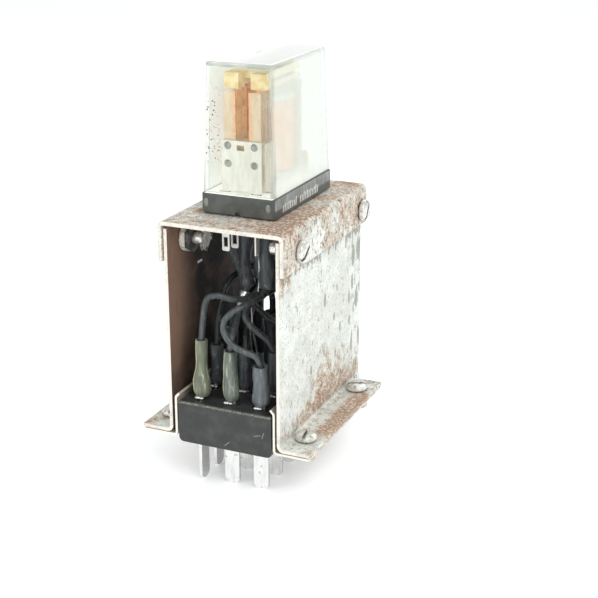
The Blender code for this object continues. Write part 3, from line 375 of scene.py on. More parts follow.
def plated_strip(name, tint, shade, coil_reflection_tint=None, reach=(0.0019, 0.0030)):
    """Satin plated metal, silvered under the clamp; an optional fourth colour paints an orange reflection of
    the coil on what is by the coil, out to reach, with painted shade on the sides that look along X.
    """
    g = Graph(name)
    smear = g.noise(1.0, 4.0, 0.6, g.stretch(700.0, 700.0, 180.0))
    spots = g.noise(900.0, 4.0)
    color = g.mix(g.ramp(smear, 0.40, 0.68), tint, shade)
    if coil_reflection_tint:
        middle = g.mul(g.ramp(g.absolute(g.axis("X")), *reach, 1.0, 0.0),
                       g.ramp(g.axis("Y"), 0.002, -0.002))
        # painted reflection: orange from the coil on the middle of the metal, tan below the coil's height,
        # mottled darker
        painted_coil_reflection = g.mix(g.ramp(g.axis("Z"), 0.0800, 0.0880), (0.80, 0.66, 0.40), coil_reflection_tint)
        painted_coil_reflection = g.mix(g.ramp(g.noise(750.0, 5.0, 0.7), 0.48, 0.62, 0.0, 0.5), painted_coil_reflection, (0.62, 0.28, 0.09))
        color = g.mix(middle, color, painted_coil_reflection)
        # painted shade: the sides that look along X are darkened
        color = g.mix(g.ramp(g.absolute(g.facing("X")), 0.7, 0.9, 0.0, 0.6), color, STRIP_SIDE_SHADE)
    color = g.mix(g.ramp(spots, 0.62, 0.72, 0.0, 0.4), color, tuple(c * 0.5 for c in shade))
    color = g.mix(g.ramp(g.axis("Z"), RELAY_FLOOR_Z, RELAY_FLOOR_Z + 0.0005), TAIL_SILVER, color)
    g.bump(smear, 0.00003, 0.5)
    return g.finish(color, g.ramp(smear, 0.3, 0.8, 0.3, 0.48), 0.35)


def bright_silver(name, tint, roughness):
    """Bright plating with rubbed streaks, a few dark spots, and painted shade on the faces that look along
    +X.
    """
    g = Graph(name)
    smear = g.noise(1.0, 4.0, 0.6, g.stretch(900.0, 900.0, 160.0))
    spots = g.noise(800.0, 4.0)
    color = g.mix(g.ramp(smear, 0.45, 0.75, 0.0, 0.5), tint, tuple(c * 0.6 for c in tint))
    color = g.mix(g.ramp(spots, 0.61, 0.69, 0.0, 0.7), color, (0.30, 0.25, 0.20))
    # painted shade: faces that look along +X are darkened towards grey
    color = g.mix(g.ramp(g.facing("X"), 0.6, 0.9, 0.0, 0.6), color, (0.34, 0.34, 0.36))
    g.bump(smear, 0.00003, 0.6)
    return g.finish(color, g.ramp(smear, 0.3, 0.8, roughness, roughness + 0.2), 0.85)


WASHER_FACE_X = (0.01235, 0.01245)


def nut_steel():
    """Bright washer under a dark hexagon, told apart by how far out they sit along X."""
    g = Graph("nut_steel_dark_hex")
    tarnish = g.noise(700.0, 5.0, 0.65)
    bright = g.mix(g.ramp(tarnish, 0.44, 0.68), (0.95, 0.95, 0.90), (0.55, 0.53, 0.46))
    dark_hex = g.mix(g.ramp(tarnish, 0.45, 0.70), (0.10, 0.10, 0.10), (0.26, 0.25, 0.23))
    hexagon = g.ramp(g.absolute(g.axis("X")), *WASHER_FACE_X, 1.0, 0.0)
    g.bump(g.noise(2600.0, 3.0), 0.00004, 0.5)
    roughness = g.ramp(tarnish, 0.3, 0.7, 0.25, 0.5)
    metallic = g.ramp(hexagon, 0.0, 1.0, 0.35, 0.8)
    return g.finish(g.mix(hexagon, bright, dark_hex), roughness, metallic)


RIVET_X = 0.00345
RIVET_Z = (0.0797, 0.0840)
RIVET_R = (0.00080, 0.00100)  # where a rivet's dark head starts to fade, and where it has gone


def clamp_steel():
    """Plated clamp plate with dark rivet heads."""
    g = Graph("clamp_plate_riveted")
    x, z = g.axis("X"), g.axis("Z")
    across = g.sub(g.absolute(x), RIVET_X)
    lower = g.absolute(g.sub(z, RIVET_Z[0]))
    upper = g.absolute(g.sub(z, RIVET_Z[1]))
    height = g.math("MINIMUM", lower, upper)
    reach = g.math("SQRT", g.add(g.mul(across, across), g.mul(height, height)))
    rivet = g.ramp(reach, *RIVET_R, 1.0, 0.0)
    smear = g.noise(1.0, 4.0, 0.6, g.stretch(900.0, 900.0, 260.0))
    plate = g.mix(g.ramp(smear, 0.4, 0.7), (0.88, 0.88, 0.78), (0.76, 0.75, 0.64))
    head = g.mix(g.ramp(g.noise(900.0, 3.0), 0.4, 0.6), (0.18, 0.19, 0.16), (0.36, 0.37, 0.32))
    g.bump(smear, 0.00003, 0.5)
    return g.finish(g.mix(rivet, plate, head), 0.38, 0.15)


def stack_laminate():
    """Laminated stack insulator: fine layers in depth, and an amber packing behind the clamp's window."""
    g = Graph("stack_laminate_layers")
    x, z = g.axis("X"), g.axis("Z")
    layers = g.noise(1.0, 3.0, 0.6, g.stretch(250.0, 2600.0, 250.0))
    color = g.mix(g.ramp(layers, 0.4, 0.62), (0.80, 0.78, 0.62), (0.62, 0.58, 0.44))
    window = g.mul(g.ramp(z, 0.0826, 0.0828), g.ramp(g.absolute(x), 0.0014, 0.0016, 1.0, 0.0))
    color = g.mix(window, color, (0.90, 0.62, 0.26))
    g.bump(layers, 0.00005, 0.5)
    return g.finish(color, g.ramp(layers, 0.3, 0.7, 0.42, 0.6))


# ---------------------------------------------------------------- plastics
SCRATCHES = (((0.0089, 0.0163), 0.25), ((0.0104, 0.0166), 3.0), ((0.0007, 0.0126), 0.85))  # centre, slope


def phenolic_black():
    g = Graph("plug_phenolic_scuffed")
    fine = g.noise(2200.0, 4.0, 0.7)
    dust = g.noise(240.0, 5.0)
    color = g.mix(g.ramp(dust, 0.4, 0.75), (0.028, 0.030, 0.029), (0.060, 0.063, 0.058))
    scuff = g.noise(1.0, 4.0, 0.6, g.stretch(160.0, 160.0, 900.0), 1.2)
    color = g.mix(g.ramp(scuff, 0.68, 0.73, 0.0, 0.6), color, (0.24, 0.24, 0.21))
    low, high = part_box("plug_body")
    z = g.axis("Z")
    # the top front edge is lighter: wear and a painted highlight, broken by noise
    rim = g.mul(g.ramp(z, high[2] - 0.0007, high[2] - 0.0002), g.ramp(g.axis("Y"), low[1] + 0.001, low[1]))
    color = g.mix(g.mul(rim, g.ramp(fine, 0.42, 0.56, 0.1, 0.8)), color, (0.28, 0.27, 0.23))
    front = g.ramp(g.facing("Y"), -0.8, -0.95)
    for centre, slope in SCRATCHES:
        scratch = g.mul(stroke(g, centre, slope), front)
        color = g.mix(g.mul(scratch, 0.7), color, (0.34, 0.35, 0.31))
    g.bump(fine, 0.00005, 0.5)
    return g.finish(color, g.ramp(dust, 0.3, 0.7, 0.34, 0.55))


def stroke(g, centre, slope):
    """A thin short scratch in the XZ plane."""
    along = math.atan(slope)
    dx = g.sub(g.axis("X"), centre[0])
    dz = g.sub(g.axis("Z"), centre[1])
    run = g.add(g.mul(dx, math.cos(along)), g.mul(dz, math.sin(along)))
    off = g.sub(g.mul(dz, math.cos(along)), g.mul(dx, math.sin(along)))
    return g.mul(g.ramp(g.absolute(run), 0.0006, 0.0011, 1.0, 0.0),
                 g.ramp(g.absolute(off), 0.00005, 0.00013, 1.0, 0.0))


def base_moulding():
    """Dark grey-green moulding, with a paler upper band along its long sides painted as a glossy reflection
    of glare, and a painted white glow on its top under the cover.
    """
    g = Graph("relay_moulding_aged_painted_glare")
    top_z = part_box("relay_base")[1][2]
    fine = g.noise(1800.0, 4.0)
    dust = g.noise(260.0, 5.0)
    color = g.mix(g.ramp(dust, 0.35, 0.7), (0.060, 0.066, 0.060), (0.105, 0.112, 0.100))
    # painted reflection: a pale streaked glare band high on the long sides
    side = g.ramp(g.absolute(g.facing("X")), 0.7, 0.9)
    band = g.ramp(g.axis("Z"), top_z - 0.0030, top_z - 0.0024)
    streak = g.noise(1.0, 3.0, 0.5, g.stretch(900.0, 900.0, 300.0))
    painted_glare = g.mix(g.ramp(streak, 0.3, 0.7), (0.15, 0.16, 0.15), (0.29, 0.30, 0.28))
    color = g.mix(g.mul(side, band), color, painted_glare)
    # painted light: the top face under the cover is whitened and glows
    painted_glow_under_cover = g.mul(g.ramp(g.facing("Z"), 0.8, 0.95),
                        g.ramp(g.absolute(g.axis("X")), 0.0088, 0.0091, 1.0, 0.0))
    color = g.mix(painted_glow_under_cover, color, (0.94, 0.95, 0.90))
    g.feed(g.shader.inputs["Emission Color"], color)
    g.feed(g.shader.inputs["Emission Strength"], g.mul(painted_glow_under_cover, 0.35))
    g.bump(fine, 0.00004, 0.4)
    return g.finish(color, g.ramp(dust, 0.3, 0.7, 0.28, 0.45))


GATE_MARK = (-0.0023, 0.0012)  # x and y of the moulding gate on the cover's top


def clear_cover():
    """Clear plastic with an aged haze that thickens at a slant, grey painted shade along its edges and
    silhouette, a moulding gate mark, a painted lighter top, a painted glow that is stronger on the left, and
    dirt specks.
    """
    g = Graph("clear_plastic_hazed_painted_light")
    low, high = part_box("relay_cover")
    x, y, z = g.axis("X"), g.axis("Y"), g.axis("Z")
    facing = g.tree.nodes.new("ShaderNodeLayerWeight")
    facing.inputs["Blend"].default_value = 0.5
    slant = facing.outputs["Facing"]
    clouds = g.noise(120.0, 4.0)
    haze = g.mul(g.ramp(slant, 0.08, 0.70, 0.06, 0.56), g.ramp(clouds, 0.3, 0.7, 0.9, 1.08))
    # painted shade: a grey line along the cover's top edge, broken by noise and stronger towards the front
    top_edge = g.mul(g.ramp(z, high[2] - 0.0014, high[2] - 0.0011),
                     g.ramp(z, high[2] - 0.0007, high[2] - 0.0004, 1.0, 0.0))
    worn = g.mul(g.ramp(g.noise(260.0, 3.0), 0.36, 0.54, 0.35, 0.9), g.ramp(y, 0.0, -0.012, 0.35, 1.0))
    line = g.mul(top_edge, worn)
    up = g.facing("Z")
    # painted shade: grey lines on the vertical corners, the rounded top edges and where the cover turns away
    # from view; the gate is a real mark
    across = g.absolute(g.mul(g.facing("X"), g.facing("Y")))
    line = g.most(line, g.ramp(across, 0.28, 0.46, 0.0, 0.45))
    rounded = g.mul(g.ramp(up, 0.15, 0.35), g.ramp(up, 0.70, 0.92, 1.0, 0.0))
    line = g.most(line, g.mul(rounded, 0.38))
    line = g.most(line, g.ramp(slant, 0.88, 0.98, 0.0, 0.75))
    topside = g.ramp(up, 0.7, 0.95)
    gate = g.mul(g.ramp(g.absolute(g.sub(y, GATE_MARK[1])), 0.0014, 0.0022, 1.0, 0.0),
                 g.ramp(g.absolute(g.add(x, -GATE_MARK[0])), 0.0003, 0.0007, 1.0, 0.0))
    line = g.most(line, g.mul(g.mul(gate, topside), g.ramp(clouds, 0.3, 0.6, 0.2, 0.7)))
    haze = g.add(haze, g.mul(topside, 0.25))
    specks = g.ramp(g.cells(1150.0), 0.20, 0.34, 1.0, 0.0)
    chosen = g.ramp(g.noise(520.0, 2.0), 0.40, 0.48)
    left = g.mul(g.ramp(x, -0.0052, -0.0038, 1.0, 0.0), g.ramp(x, -0.0090, -0.0082))
    height = g.mul(g.ramp(z, 0.0780, 0.0820), g.ramp(z, 0.0960, 0.0995, 1.0, 0.0))
    front = g.ramp(y, low[1] + 0.0011, low[1] + 0.0016, 1.0, 0.0)
    dirt = g.mul(g.mul(specks, chosen), g.mul(left, height))
    dirt = g.mul(dirt, front, clamp=True)
    # painted light: the top faces are whiter than the greyish green haze of the sides
    color = g.mix(topside, (0.74, 0.79, 0.72), (0.97, 0.98, 0.96))
    color = g.mix(line, color, (0.30, 0.33, 0.29))
    color = g.mix(dirt, color, (0.06, 0.07, 0.06))
    alpha = g.most(g.most(haze, line), g.mul(dirt, 0.9), clamp=True)
    # painted light: the cover glows in its own colour, more strongly on the left
    g.feed(g.shader.inputs["Emission Color"], color)
    g.feed(g.shader.inputs["Emission Strength"], g.ramp(x, 0.002, -0.006, 0.05, 0.24))
    g.bump(g.noise(70.0, 3.0), 0.0002, 0.12)
    return g.finish(color, 0.1, 0.0, alpha=alpha)


def plain_plastic(name, tint, shade, roughness, scale=600.0):
    g = Graph(name)
    clouds = g.noise(scale, 5.0)
    g.bump(g.noise(scale * 4.0, 3.0), 0.00003, 0.4)
    color = g.mix(g.ramp(clouds, 0.35, 0.68), tint, shade)
    return g.finish(color, g.ramp(clouds, 0.3, 0.7, roughness, roughness + 0.15))


def coil_tape():
    """Copper wire in even turns under amber tape."""
    g = Graph("coil_copper_taped")
    turns = g.tree.nodes.new("ShaderNodeTexWave")
    turns.bands_direction = "Z"
    turns.inputs["Scale"].default_value = 900.0
    turns.inputs["Distortion"].default_value = 0.4
    g.feed(turns.inputs["Vector"], g.point)
    patches = g.noise(260.0, 5.0)
    color = g.mix(turns.outputs["Fac"], (0.92, 0.30, 0.03), (1.0, 0.46, 0.10))
    color = g.mix(g.ramp(patches, 0.52, 0.70, 0.0, 0.7), color, (0.60, 0.20, 0.05))
    g.bump(turns.outputs["Fac"], 0.00008, 0.5)
    return g.finish(color, 0.32, 0.1, coat_weight=0.4)


def amber():
    g = Graph("card_amber_moulded")
    clouds = g.noise(500.0, 5.0)
    color = g.mix(g.ramp(clouds, 0.4, 0.66), (1.0, 0.86, 0.46), (0.88, 0.62, 0.22))
    g.bump(g.noise(1600.0, 3.0), 0.00004, 0.4)
    return g.finish(color, 0.3)


def sleeving(name, tint, shade, painted_highlight_tint=None):
    """Shrunk plastic sleeving: lengthwise creases and a dusty bloom; given a highlight colour, it gets
    painted shade on the side facing +X and a painted highlight line along its left front.
    """
    g = Graph(name)
    creases = g.noise(1.0, 4.0, 0.6, g.stretch(900.0, 900.0, 120.0), 0.5)
    dust = g.noise(500.0, 5.0)
    color = g.mix(g.ramp(creases, 0.35, 0.7), tint, shade)
    if painted_highlight_tint:
        sideways = g.facing("X")
        # painted shade: faces that look along +X turn towards the darker tint
        color = g.mix(g.ramp(sideways, 0.0, 0.8, 0.0, 0.6), color, tint)
        # painted highlight: a pale line where the surface looks left and forward, the same pale colour also
        # on the raised creases
        line = g.ramp(g.absolute(g.add(sideways, 0.66)), 0.05, 0.16, 1.0, 0.0)
        line = g.most(g.mul(line, 0.9), g.ramp(creases, 0.58, 0.68, 0.0, 0.7))
        color = g.mix(line, color, painted_highlight_tint)
    color = g.mix(g.ramp(dust, 0.60, 0.73, 0.0, 0.45), color, (0.42, 0.43, 0.38))
    g.bump(creases, 0.0002, 0.6)
    return g.finish(color, g.ramp(dust, 0.3, 0.7, 0.30, 0.55))


# ---------------------------------------------------------------- mesh helpers
def add_piece(name, bm, material, body=CHASSIS, smooth_deg=None):
    """A new visible piece, drawn in millimetres, that rides on a body."""
    bmesh.ops.recalc_face_normals(bm, faces=bm.faces)
    bmesh.ops.scale(bm, vec=(MM, MM, MM), verts=bm.verts)
    mesh = bpy.data.meshes.new(name)
    bm.to_mesh(mesh)
    bm.free()
    mesh.materials.append(material)
    if smooth_deg:
        mesh.shade_smooth()
        mesh.set_sharp_from_angle(angle=math.radians(smooth_deg))
    piece = bpy.data.objects.new(name, mesh)
    bpy.context.scene.collection.objects.link(piece)
    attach(piece, body)
    return piece


def catmull_rom(points, steps):
    padded = [points[0]] + points + [points[-1]]
    result = []
    for p0, p1, p2, p3 in zip(padded, padded[1:], padded[2:], padded[3:]):
        for i in range(steps):
            t = i / steps
            blend = 2.0 * p1 + (p2 - p0) * t + (2.0 * p0 - 5.0 * p1 + 4.0 * p2 - p3) * t * t
            result.append((blend + (3.0 * p1 - p0 - 3.0 * p2 + p3) * t ** 3) / 2.0)
    return result + [points[-1]]


def skin_loops(bm, loops):
    """Joins closed loops of vertices with quads, and closes both ends."""
    count = len(loops[0])
    for lower, upper in zip(loops, loops[1:]):
        for k in range(count):
            j = (k + 1) % count
            bm.faces.new((lower[k], lower[j], upper[j], upper[k]))
    bm.faces.new(loops[0])
    bm.faces.new(loops[-1])


def sweep(bm, points, radius_at, segments):
    """Round tube along a path; radius_at(i, angle) gives the radius at ring i."""
    along = (points[1] - points[0]).normalized()
    side = along.cross(Vector((0.0, 1.0, 0.0)))
    if side.length < 0.2:
        side = along.orthogonal()
    loops = []
    for i, point in enumerate(points):
        heading = (points[min(i + 1, len(points) - 1)] - points[max(i - 1, 0)]).normalized()
        side = (side - heading * side.dot(heading)).normalized()
        over = heading.cross(side)
        loop = []
        for k in range(segments):
            angle = 2.0 * math.pi * k / segments
            radius = radius_at(i, angle)
            across, up = side * math.cos(angle), over * math.sin(angle)
            loop.append(bm.verts.new(point + across * radius + up * radius))
        loops.append(loop)
    skin_loops(bm, loops)


# ---------------------------------------------------------------- leads
def row_y(row):
    return FIRST_ROW_Y + row * BLADE_PITCH


# name: (relay end, way points of the wire, plug end); an end is (x, y, z where the sleeve stops)
LEADS = {
    "lead_front_left": (
        (1.5, -6.9, 50.0),
        [(1.5, -8.6, 47.4), (0.9, -12.2, 46.2), (-1.6, -16.2, 46.7), (-5.0, -18.6, 47.9),
         (-7.2, -20.0, 46.2)],
        (BLADE_COLUMNS[0], row_y(0), 37.0),
    ),
    "lead_front_right": (
        (4.7, -9.9, 48.8),
        [(4.5, -12.0, 47.2), (4.3, -16.0, 47.2), (3.5, -19.8, 47.0), (1.4, -22.4, 46.0), (-0.3, -23.2, 43.9),
         (-0.6, -23.6, 41.9), (0.4, -23.7, 39.5), (2.4, -23.4, 37.5), (5.0, -22.8, 36.3), (7.2, -21.8, 35.0)],
        (BLADE_COLUMNS[2], row_y(0), 32.6),
    ),
    "lead_front_middle": (
        (-2.7, -6.9, 48.5),
        [(-1.2, -11.6, 45.2), (-1.4, -14.2, 41.8), (-0.6, -17.6, 39.8), (-0.1, -20.4, 38.2)],
        (BLADE_COLUMNS[1], row_y(0), 35.4),
    ),
    "lead_second_middle": (
        (-4.6, 12.4, 51.0),
        [(-4.8, 11.0, 46.0), (-4.4, 5.0, 42.0), (-3.0, -3.0, 40.0), (-1.2, -9.5, 37.5)],
        (BLADE_COLUMNS[1], row_y(1), 32.4),
    ),
    "lead_second_right": (
        (4.6, 12.4, 51.0),
        [(5.2, 9.0, 47.2), (5.2, 5.0, 46.4), (3.2, -2.0, 45.6), (0.8, -9.5, 44.6), (0.4, -13.8, 42.4),
         (2.0, -14.8, 40.2), (4.4, -14.6, 38.2), (6.6, -14.0, 36.4)],
        (BLADE_COLUMNS[2], row_y(1), 33.4),
    ),
    "lead_link": (
        (BLADE_COLUMNS[0], row_y(1), 33.0),
        [(-7.9, -11.6, 41.0), (-7.4, -7.0, 47.6), (-3.4, -1.6, 50.6), (3.0, 0.2, 50.2), (7.6, -2.4, 45.4)],
        (BLADE_COLUMNS[2], row_y(2), 33.0),
    ),
}
# wiring at the back of the bay that the model leaves out, in the same form
REAR_LEADS = {
    "rear_link_left": (
        (BLADE_COLUMNS[0], row_y(4), 38.6),
        [(-7.4, 9.6, 42.0), (-5.0, 7.0, 44.8), (-1.6, 4.4, 43.6), (-0.2, 3.2, 40.6)],
        (BLADE_COLUMNS[1], row_y(3), 37.4),
    ),
    "rear_link_right": (
        (BLADE_COLUMNS[0], row_y(3), 36.2),
        [(-7.6, 3.4, 39.6), (-6.4, 7.8, 42.0), (-3.0, 12.6, 42.6), (1.4, 13.4, 41.4), (6.6, 11.8, 39.0)],
        (BLADE_COLUMNS[2], row_y(4), 36.0),
    ),
    "rear_link_middle": (
        (BLADE_COLUMNS[0], row_y(2), 35.4),
        [(-7.2, -4.8, 39.4), (-4.2, -4.2, 42.0), (-0.9, -4.0, 40.4), (2.4, -4.0, 37.9), (5.2, -2.6, 37.0),
         (7.4, 0.4, 37.0)],
        (BLADE_COLUMNS[2], row_y(3), 34.8),
    ),
}
# bare tinned wire from the edge-on lug down to the middle blade of the third row
BUS_WIRE = [(3.4, -12.6, 58.6), (3.1, -11.6, 57.2), (2.65, -10.4, 55.4), (2.5, -9.9, 52.5), (2.4, -9.9, 49.5),
            (1.7, -9.6, 46.4), (0.0, -9.0, 43.4), (-0.5, -8.2, 40.0), (-0.5, -7.8, 36.0), (-0.2, -6.6, 31.0),
            (0.0, -5.8, 26.6), (0.0, -5.7, 24.4)]
BUS_WIRE_R = 0.26
FERRULE_WALL = 0.42
# a spare sleeve slanting down from behind the two open lugs: root, knee and tip
SLANT_SLEEVE = ((-6.6, -6.0, 58.0), (-6.6, -6.0, 57.9), (-1.2, -9.2, 48.6))
SLANT_SLEEVE_R = 2.2
SOLDER_Z = 22.15
SLEEVE_KNEE_Z = (26.8, 57.0)  # where a sleeve may start to lean, on the plug side and on the relay side
SLEEVE_LEAN = {"lead_front_middle": (2.0, -3.3)}  # how far the tip of the relay side sleeve leans, in x and y
# half widths along x and y at the root, then half width at the tip
SLEEVE_SHAPE = {
    ("lead_front_left", "plug"): (2.3, 2.1, 1.5),
    ("rear_link_left", "plug"): (2.4, 1.9, 2.25),
    ("lead_front_middle", "plug"): (2.1, 1.6, 1.75),
    ("lead_front_right", "plug"): (2.25, 1.8, 1.9),
    ("lead_front_left", "relay"): (2.0, 1.9, 1.7),
    ("lead_front_right", "relay"): (2.2, 2.0, 2.1),
    ("lead_front_middle", "relay"): (2.35, 1.9, 1.35),
}
PLUG_SHAPE = (2.1, 1.6, 1.6)
RELAY_SHAPE = (2.0, 1.8, 1.7)
SLEEVE_RINGS = 20
SLEEVE_SEGMENTS = 24
FOLD_COARSE = 0.04  # depth of the lengthwise folds, as a share of the radius
FOLD_FINE = 0.02
PINCH = 0.3  # how far a sleeve narrows at its root
WIRE_TUCK = 1.4  # how far the wire reaches into a sleeve


def sleeve_end(name, x, y, stop_z, on_plug):
    """Root, knee and tip of a sleeve."""
    lean_x, lean_y = (0.0, 0.0) if on_plug else SLEEVE_LEAN.get(name, (0.0, 0.0))
    root = Vector((x, y, SLEEVE_BOTTOM_Z if on_plug else SLEEVE_TOP_Z))
    knee = Vector((x, y, SLEEVE_KNEE_Z[0] if on_plug else SLEEVE_KNEE_Z[1]))
    return root, knee, Vector((x + lean_x, y + lean_y, stop_z))


def smooth(t):
    t = min(max(t, 0.0), 1.0)
    return t * t * (3.0 - 2.0 * t)


def sleeve(name, root, knee, tip, shape, material, rng):
    """Sleeve pinched over a solder tail, wrinkled, and turned in round the wire where it stops."""
    wide, deep, tip_r = shape
    points, radii = [], []
    sway = (rng.uniform(-0.18, 0.18), rng.uniform(-0.12, 0.12))
    for i in range(SLEEVE_RINGS):
        t = i / (SLEEVE_RINGS - 1)
        z = root.z + (tip.z - root.z) * t
        past_knee = smooth((z - knee.z) / (tip.z - knee.z))
        bend = math.sin(math.pi * t)
        centre = root.lerp(tip, past_knee)
        points.append(Vector((centre.x + sway[0] * bend, centre.y + sway[1] * bend, z)))
        settle = smooth((t - 0.2) / 0.35)
        jitter = 1.0 + (rng.uniform(-0.025, 0.025) if 0 < i < SLEEVE_RINGS - 1 else 0.0)
        jitter *= 1.0 - PINCH * (1.0 - smooth(t / 0.09))
        radii.append(((wide + (tip_r - wide) * settle) * jitter, (deep + (tip_r - deep) * settle) * jitter))
    heading = (points[-1] - points[-2]).normalized()
    for step, share in ((0.12, 0.93), (0.10, 0.80), (-0.5, 0.66)):
        points.append(tip + heading * step)
        radii.append((tip_r * share, tip_r * share))
    folds = rng.uniform(0.0, 6.28)
    bm = bmesh.new()
    loops = []
    for i, (point, (a, b)) in enumerate(zip(points, radii)):
        loop = []
        for k in range(SLEEVE_SEGMENTS):
            angle = 2.0 * math.pi * k / SLEEVE_SEGMENTS
            fold = 1.0 + FOLD_COARSE * math.sin(3.0 * angle + folds + 0.3 * i)
            fold += FOLD_FINE * math.sin(5.0 * angle - 0.7 * i)
            offset = Vector((math.cos(angle) * a * fold, math.sin(angle) * b * fold, 0.0))
            loop.append(bm.verts.new(point + offset))
        loops.append(loop)
    skin_loops(bm, loops)
    add_piece(name, bm, material, smooth_deg=50)


def make_lead(name, route, wire_skins, skins, rng, replaces):
    first, way, last = route
    ends, inner = [], []
    for end, (x, y, stop_z) in (("relay", first), ("plug", last)):
        on_plug = stop_z < LEAD_SPLIT_Z
        root, knee, tip = sleeve_end(name, x, y, stop_z, on_plug)
        ends.append((end, root, knee, tip, PLUG_SHAPE if on_plug else RELAY_SHAPE))
        inner.append(tip + (root - tip).normalized() * WIRE_TUCK)
    path = [ends[0][3]] + [Vector(point) for point in way] + [ends[1][3]]
    path = [inner[0]] + catmull_rom(path, 10) + [inner[1]]
    bm = bmesh.new()
    sweep(bm, path, lambda i, angle: WIRE_R, 16)
    skin = wire_skins.get(name, wire_skins["usual"])
    wire = add_piece(f"{name}_wire", bm, skin, smooth_deg=60)
    if replaces:
        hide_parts(name)
    for end, root, knee, tip, usual in ends:
        shape = SLEEVE_SHAPE.get((name, end), usual)
        skin = skins.get((name, end), skins["dark"])
        sleeve(f"{name}_{end}_sleeve", root, knee, tip, shape, skin, rng)


def make_bare_metal(silver):
    """The tinned wire, and a crimped ferrule where the leaning sleeve lets its wire out."""
    bm = bmesh.new()
    path = catmull_rom([Vector(point) for point in BUS_WIRE], 8)
    sweep(bm, path, lambda i, angle: BUS_WIRE_R, 10)
    add_piece("bus_wire", bm, silver, smooth_deg=60)
    route = LEADS["lead_front_middle"]
    tip = sleeve_end("lead_front_middle", *route[0], False)[2]
    path = catmull_rom([tip] + [Vector(point) for point in route[1][:2]], 10)[5:16]
    bm = bmesh.new()

    def crimp(i, angle):
        end = 0.88 if i in (0, len(path) - 1) else 1.0
        return (WIRE_R + FERRULE_WALL) * end * (1.0 + 0.12 * math.cos(2.0 * angle + 1.1 * i))

    sweep(bm, path, crimp, 16)
    add_piece("crimp_ferrule", bm, silver, smooth_deg=40)


def make_leads(wire_skins, skins):
    rng = random.Random(7)
    for name, route in LEADS.items():
        make_lead(name, route, wire_skins, skins, rng, True)
    for name, route in REAR_LEADS.items():
        make_lead(name, route, wire_skins, skins, rng, False)
    shape = (SLANT_SLEEVE_R, SLANT_SLEEVE_R, SLANT_SLEEVE_R * 0.85)
    sleeve("slant_sleeve", *(Vector(point) for point in SLANT_SLEEVE), shape, skins["dark"], rng)


def solder_spots(silver):
    """Solder left where each sleeved wire meets its blade."""
    rng = random.Random(11)
    bm = bmesh.new()
    for route in list(LEADS.values()) + list(REAR_LEADS.values()):
        for x, y, stop_z in (route[0], route[2]):
            if stop_z < LEAD_SPLIT_Z:
                for across, size in ((rng.uniform(-0.9, -0.5), 0.62), (rng.uniform(0.1, 0.6), 0.45)):
                    blob = bmesh.ops.create_icosphere(bm, subdivisions=2, radius=size)
                    bmesh.ops.scale(bm, vec=(1.4, 0.9, 0.6), verts=blob["verts"])
                    bmesh.ops.translate(bm, vec=(x + across, y - 1.45, SOLDER_Z), verts=blob["verts"])
    add_piece("solder_spots", bm, silver, smooth_deg=60)


# ---------------------------------------------------------------- small trim
BASE_MARK_X = (("left", -8.4), ("right", 7.9))
BASE_MARK_Z = 70.2
MARK_HALF = (0.62, 1.15)
MARK_SEGMENTS = 20
TICK_Z = 68.6
TICK_PITCH = 1.04
TICK_WIDTH = 0.48
TICK_SLANT = 0.12
TICK_GROUPS = ((-11.8, 8), (-1.9, 11))  # where each group starts along y, and its count


def coil_tape_end(material):
    """Loose end of the coil's tape, crumpled up in front of the winding and tucked over its flange."""
    columns, rows = 11, 26
    low_z, high_z, tuck_z = 85.6, 97.2, 94.4
    rng = random.Random(5)
    bm = bmesh.new()
    sheets = ([], [])
    for row in range(rows):
        z = low_z + (high_z - low_z) * row / (rows - 1)
        tuck = min(max(0.0, z - tuck_z) * 0.5, 0.6)
        half = 2.70 + 0.15 * math.sin(1.9 * z)
        for column in range(columns):
            x = half * (2.0 * column / (columns - 1) - 1.0)
            y = -6.28 + tuck + 0.10 * math.sin(2.3 * z + 2.0 * x) + rng.uniform(-0.07, 0.07)
            sheets[0].append(bm.verts.new((x, y, z)))
            sheets[1].append(bm.verts.new((x, y + 0.22, z)))
    for row in range(rows - 1):
        for column in range(columns - 1):
            k = row * columns + column
            corners = (k, k + 1, k + 1 + columns, k + columns)
            bm.faces.new([sheets[0][i] for i in corners])
            bm.faces.new([sheets[1][i] for i in reversed(corners)])
    rim = list(range(columns)) + [row * columns + columns - 1 for row in range(1, rows)]
    rim += list(range(rows * columns - 2, (rows - 1) * columns - 1, -1))
    rim += [row * columns for row in range(rows - 2, 0, -1)]
    for i, j in zip(rim, rim[1:] + rim[:1]):
        bm.faces.new((sheets[0][i], sheets[1][i], sheets[1][j], sheets[0][j]))
    add_piece("coil_tape_end", bm, material, smooth_deg=35)


def base_marks(material):
    """Two oval ejector marks on the front of the relay base."""
    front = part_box("relay_base")[0][1] / MM
    for side, x in BASE_MARK_X:
        bm = bmesh.new()
        centre = Vector((x, front, BASE_MARK_Z))
        rings = []
        for reach, depth in ((1.0, 0.0), (0.92, -0.10), (0.55, -0.16)):
            ring = []
            for k in range(MARK_SEGMENTS):
                angle = 2.0 * math.pi * k / MARK_SEGMENTS
                across, up = MARK_HALF[0] * math.cos(angle), MARK_HALF[1] * math.sin(angle)
                offset = Vector((reach * across, depth, reach * up))
                ring.append(bm.verts.new(centre + offset))
            rings.append(ring)
        skin_loops(bm, rings)
        add_piece(f"base_mark_{side}", bm, material, smooth_deg=60)


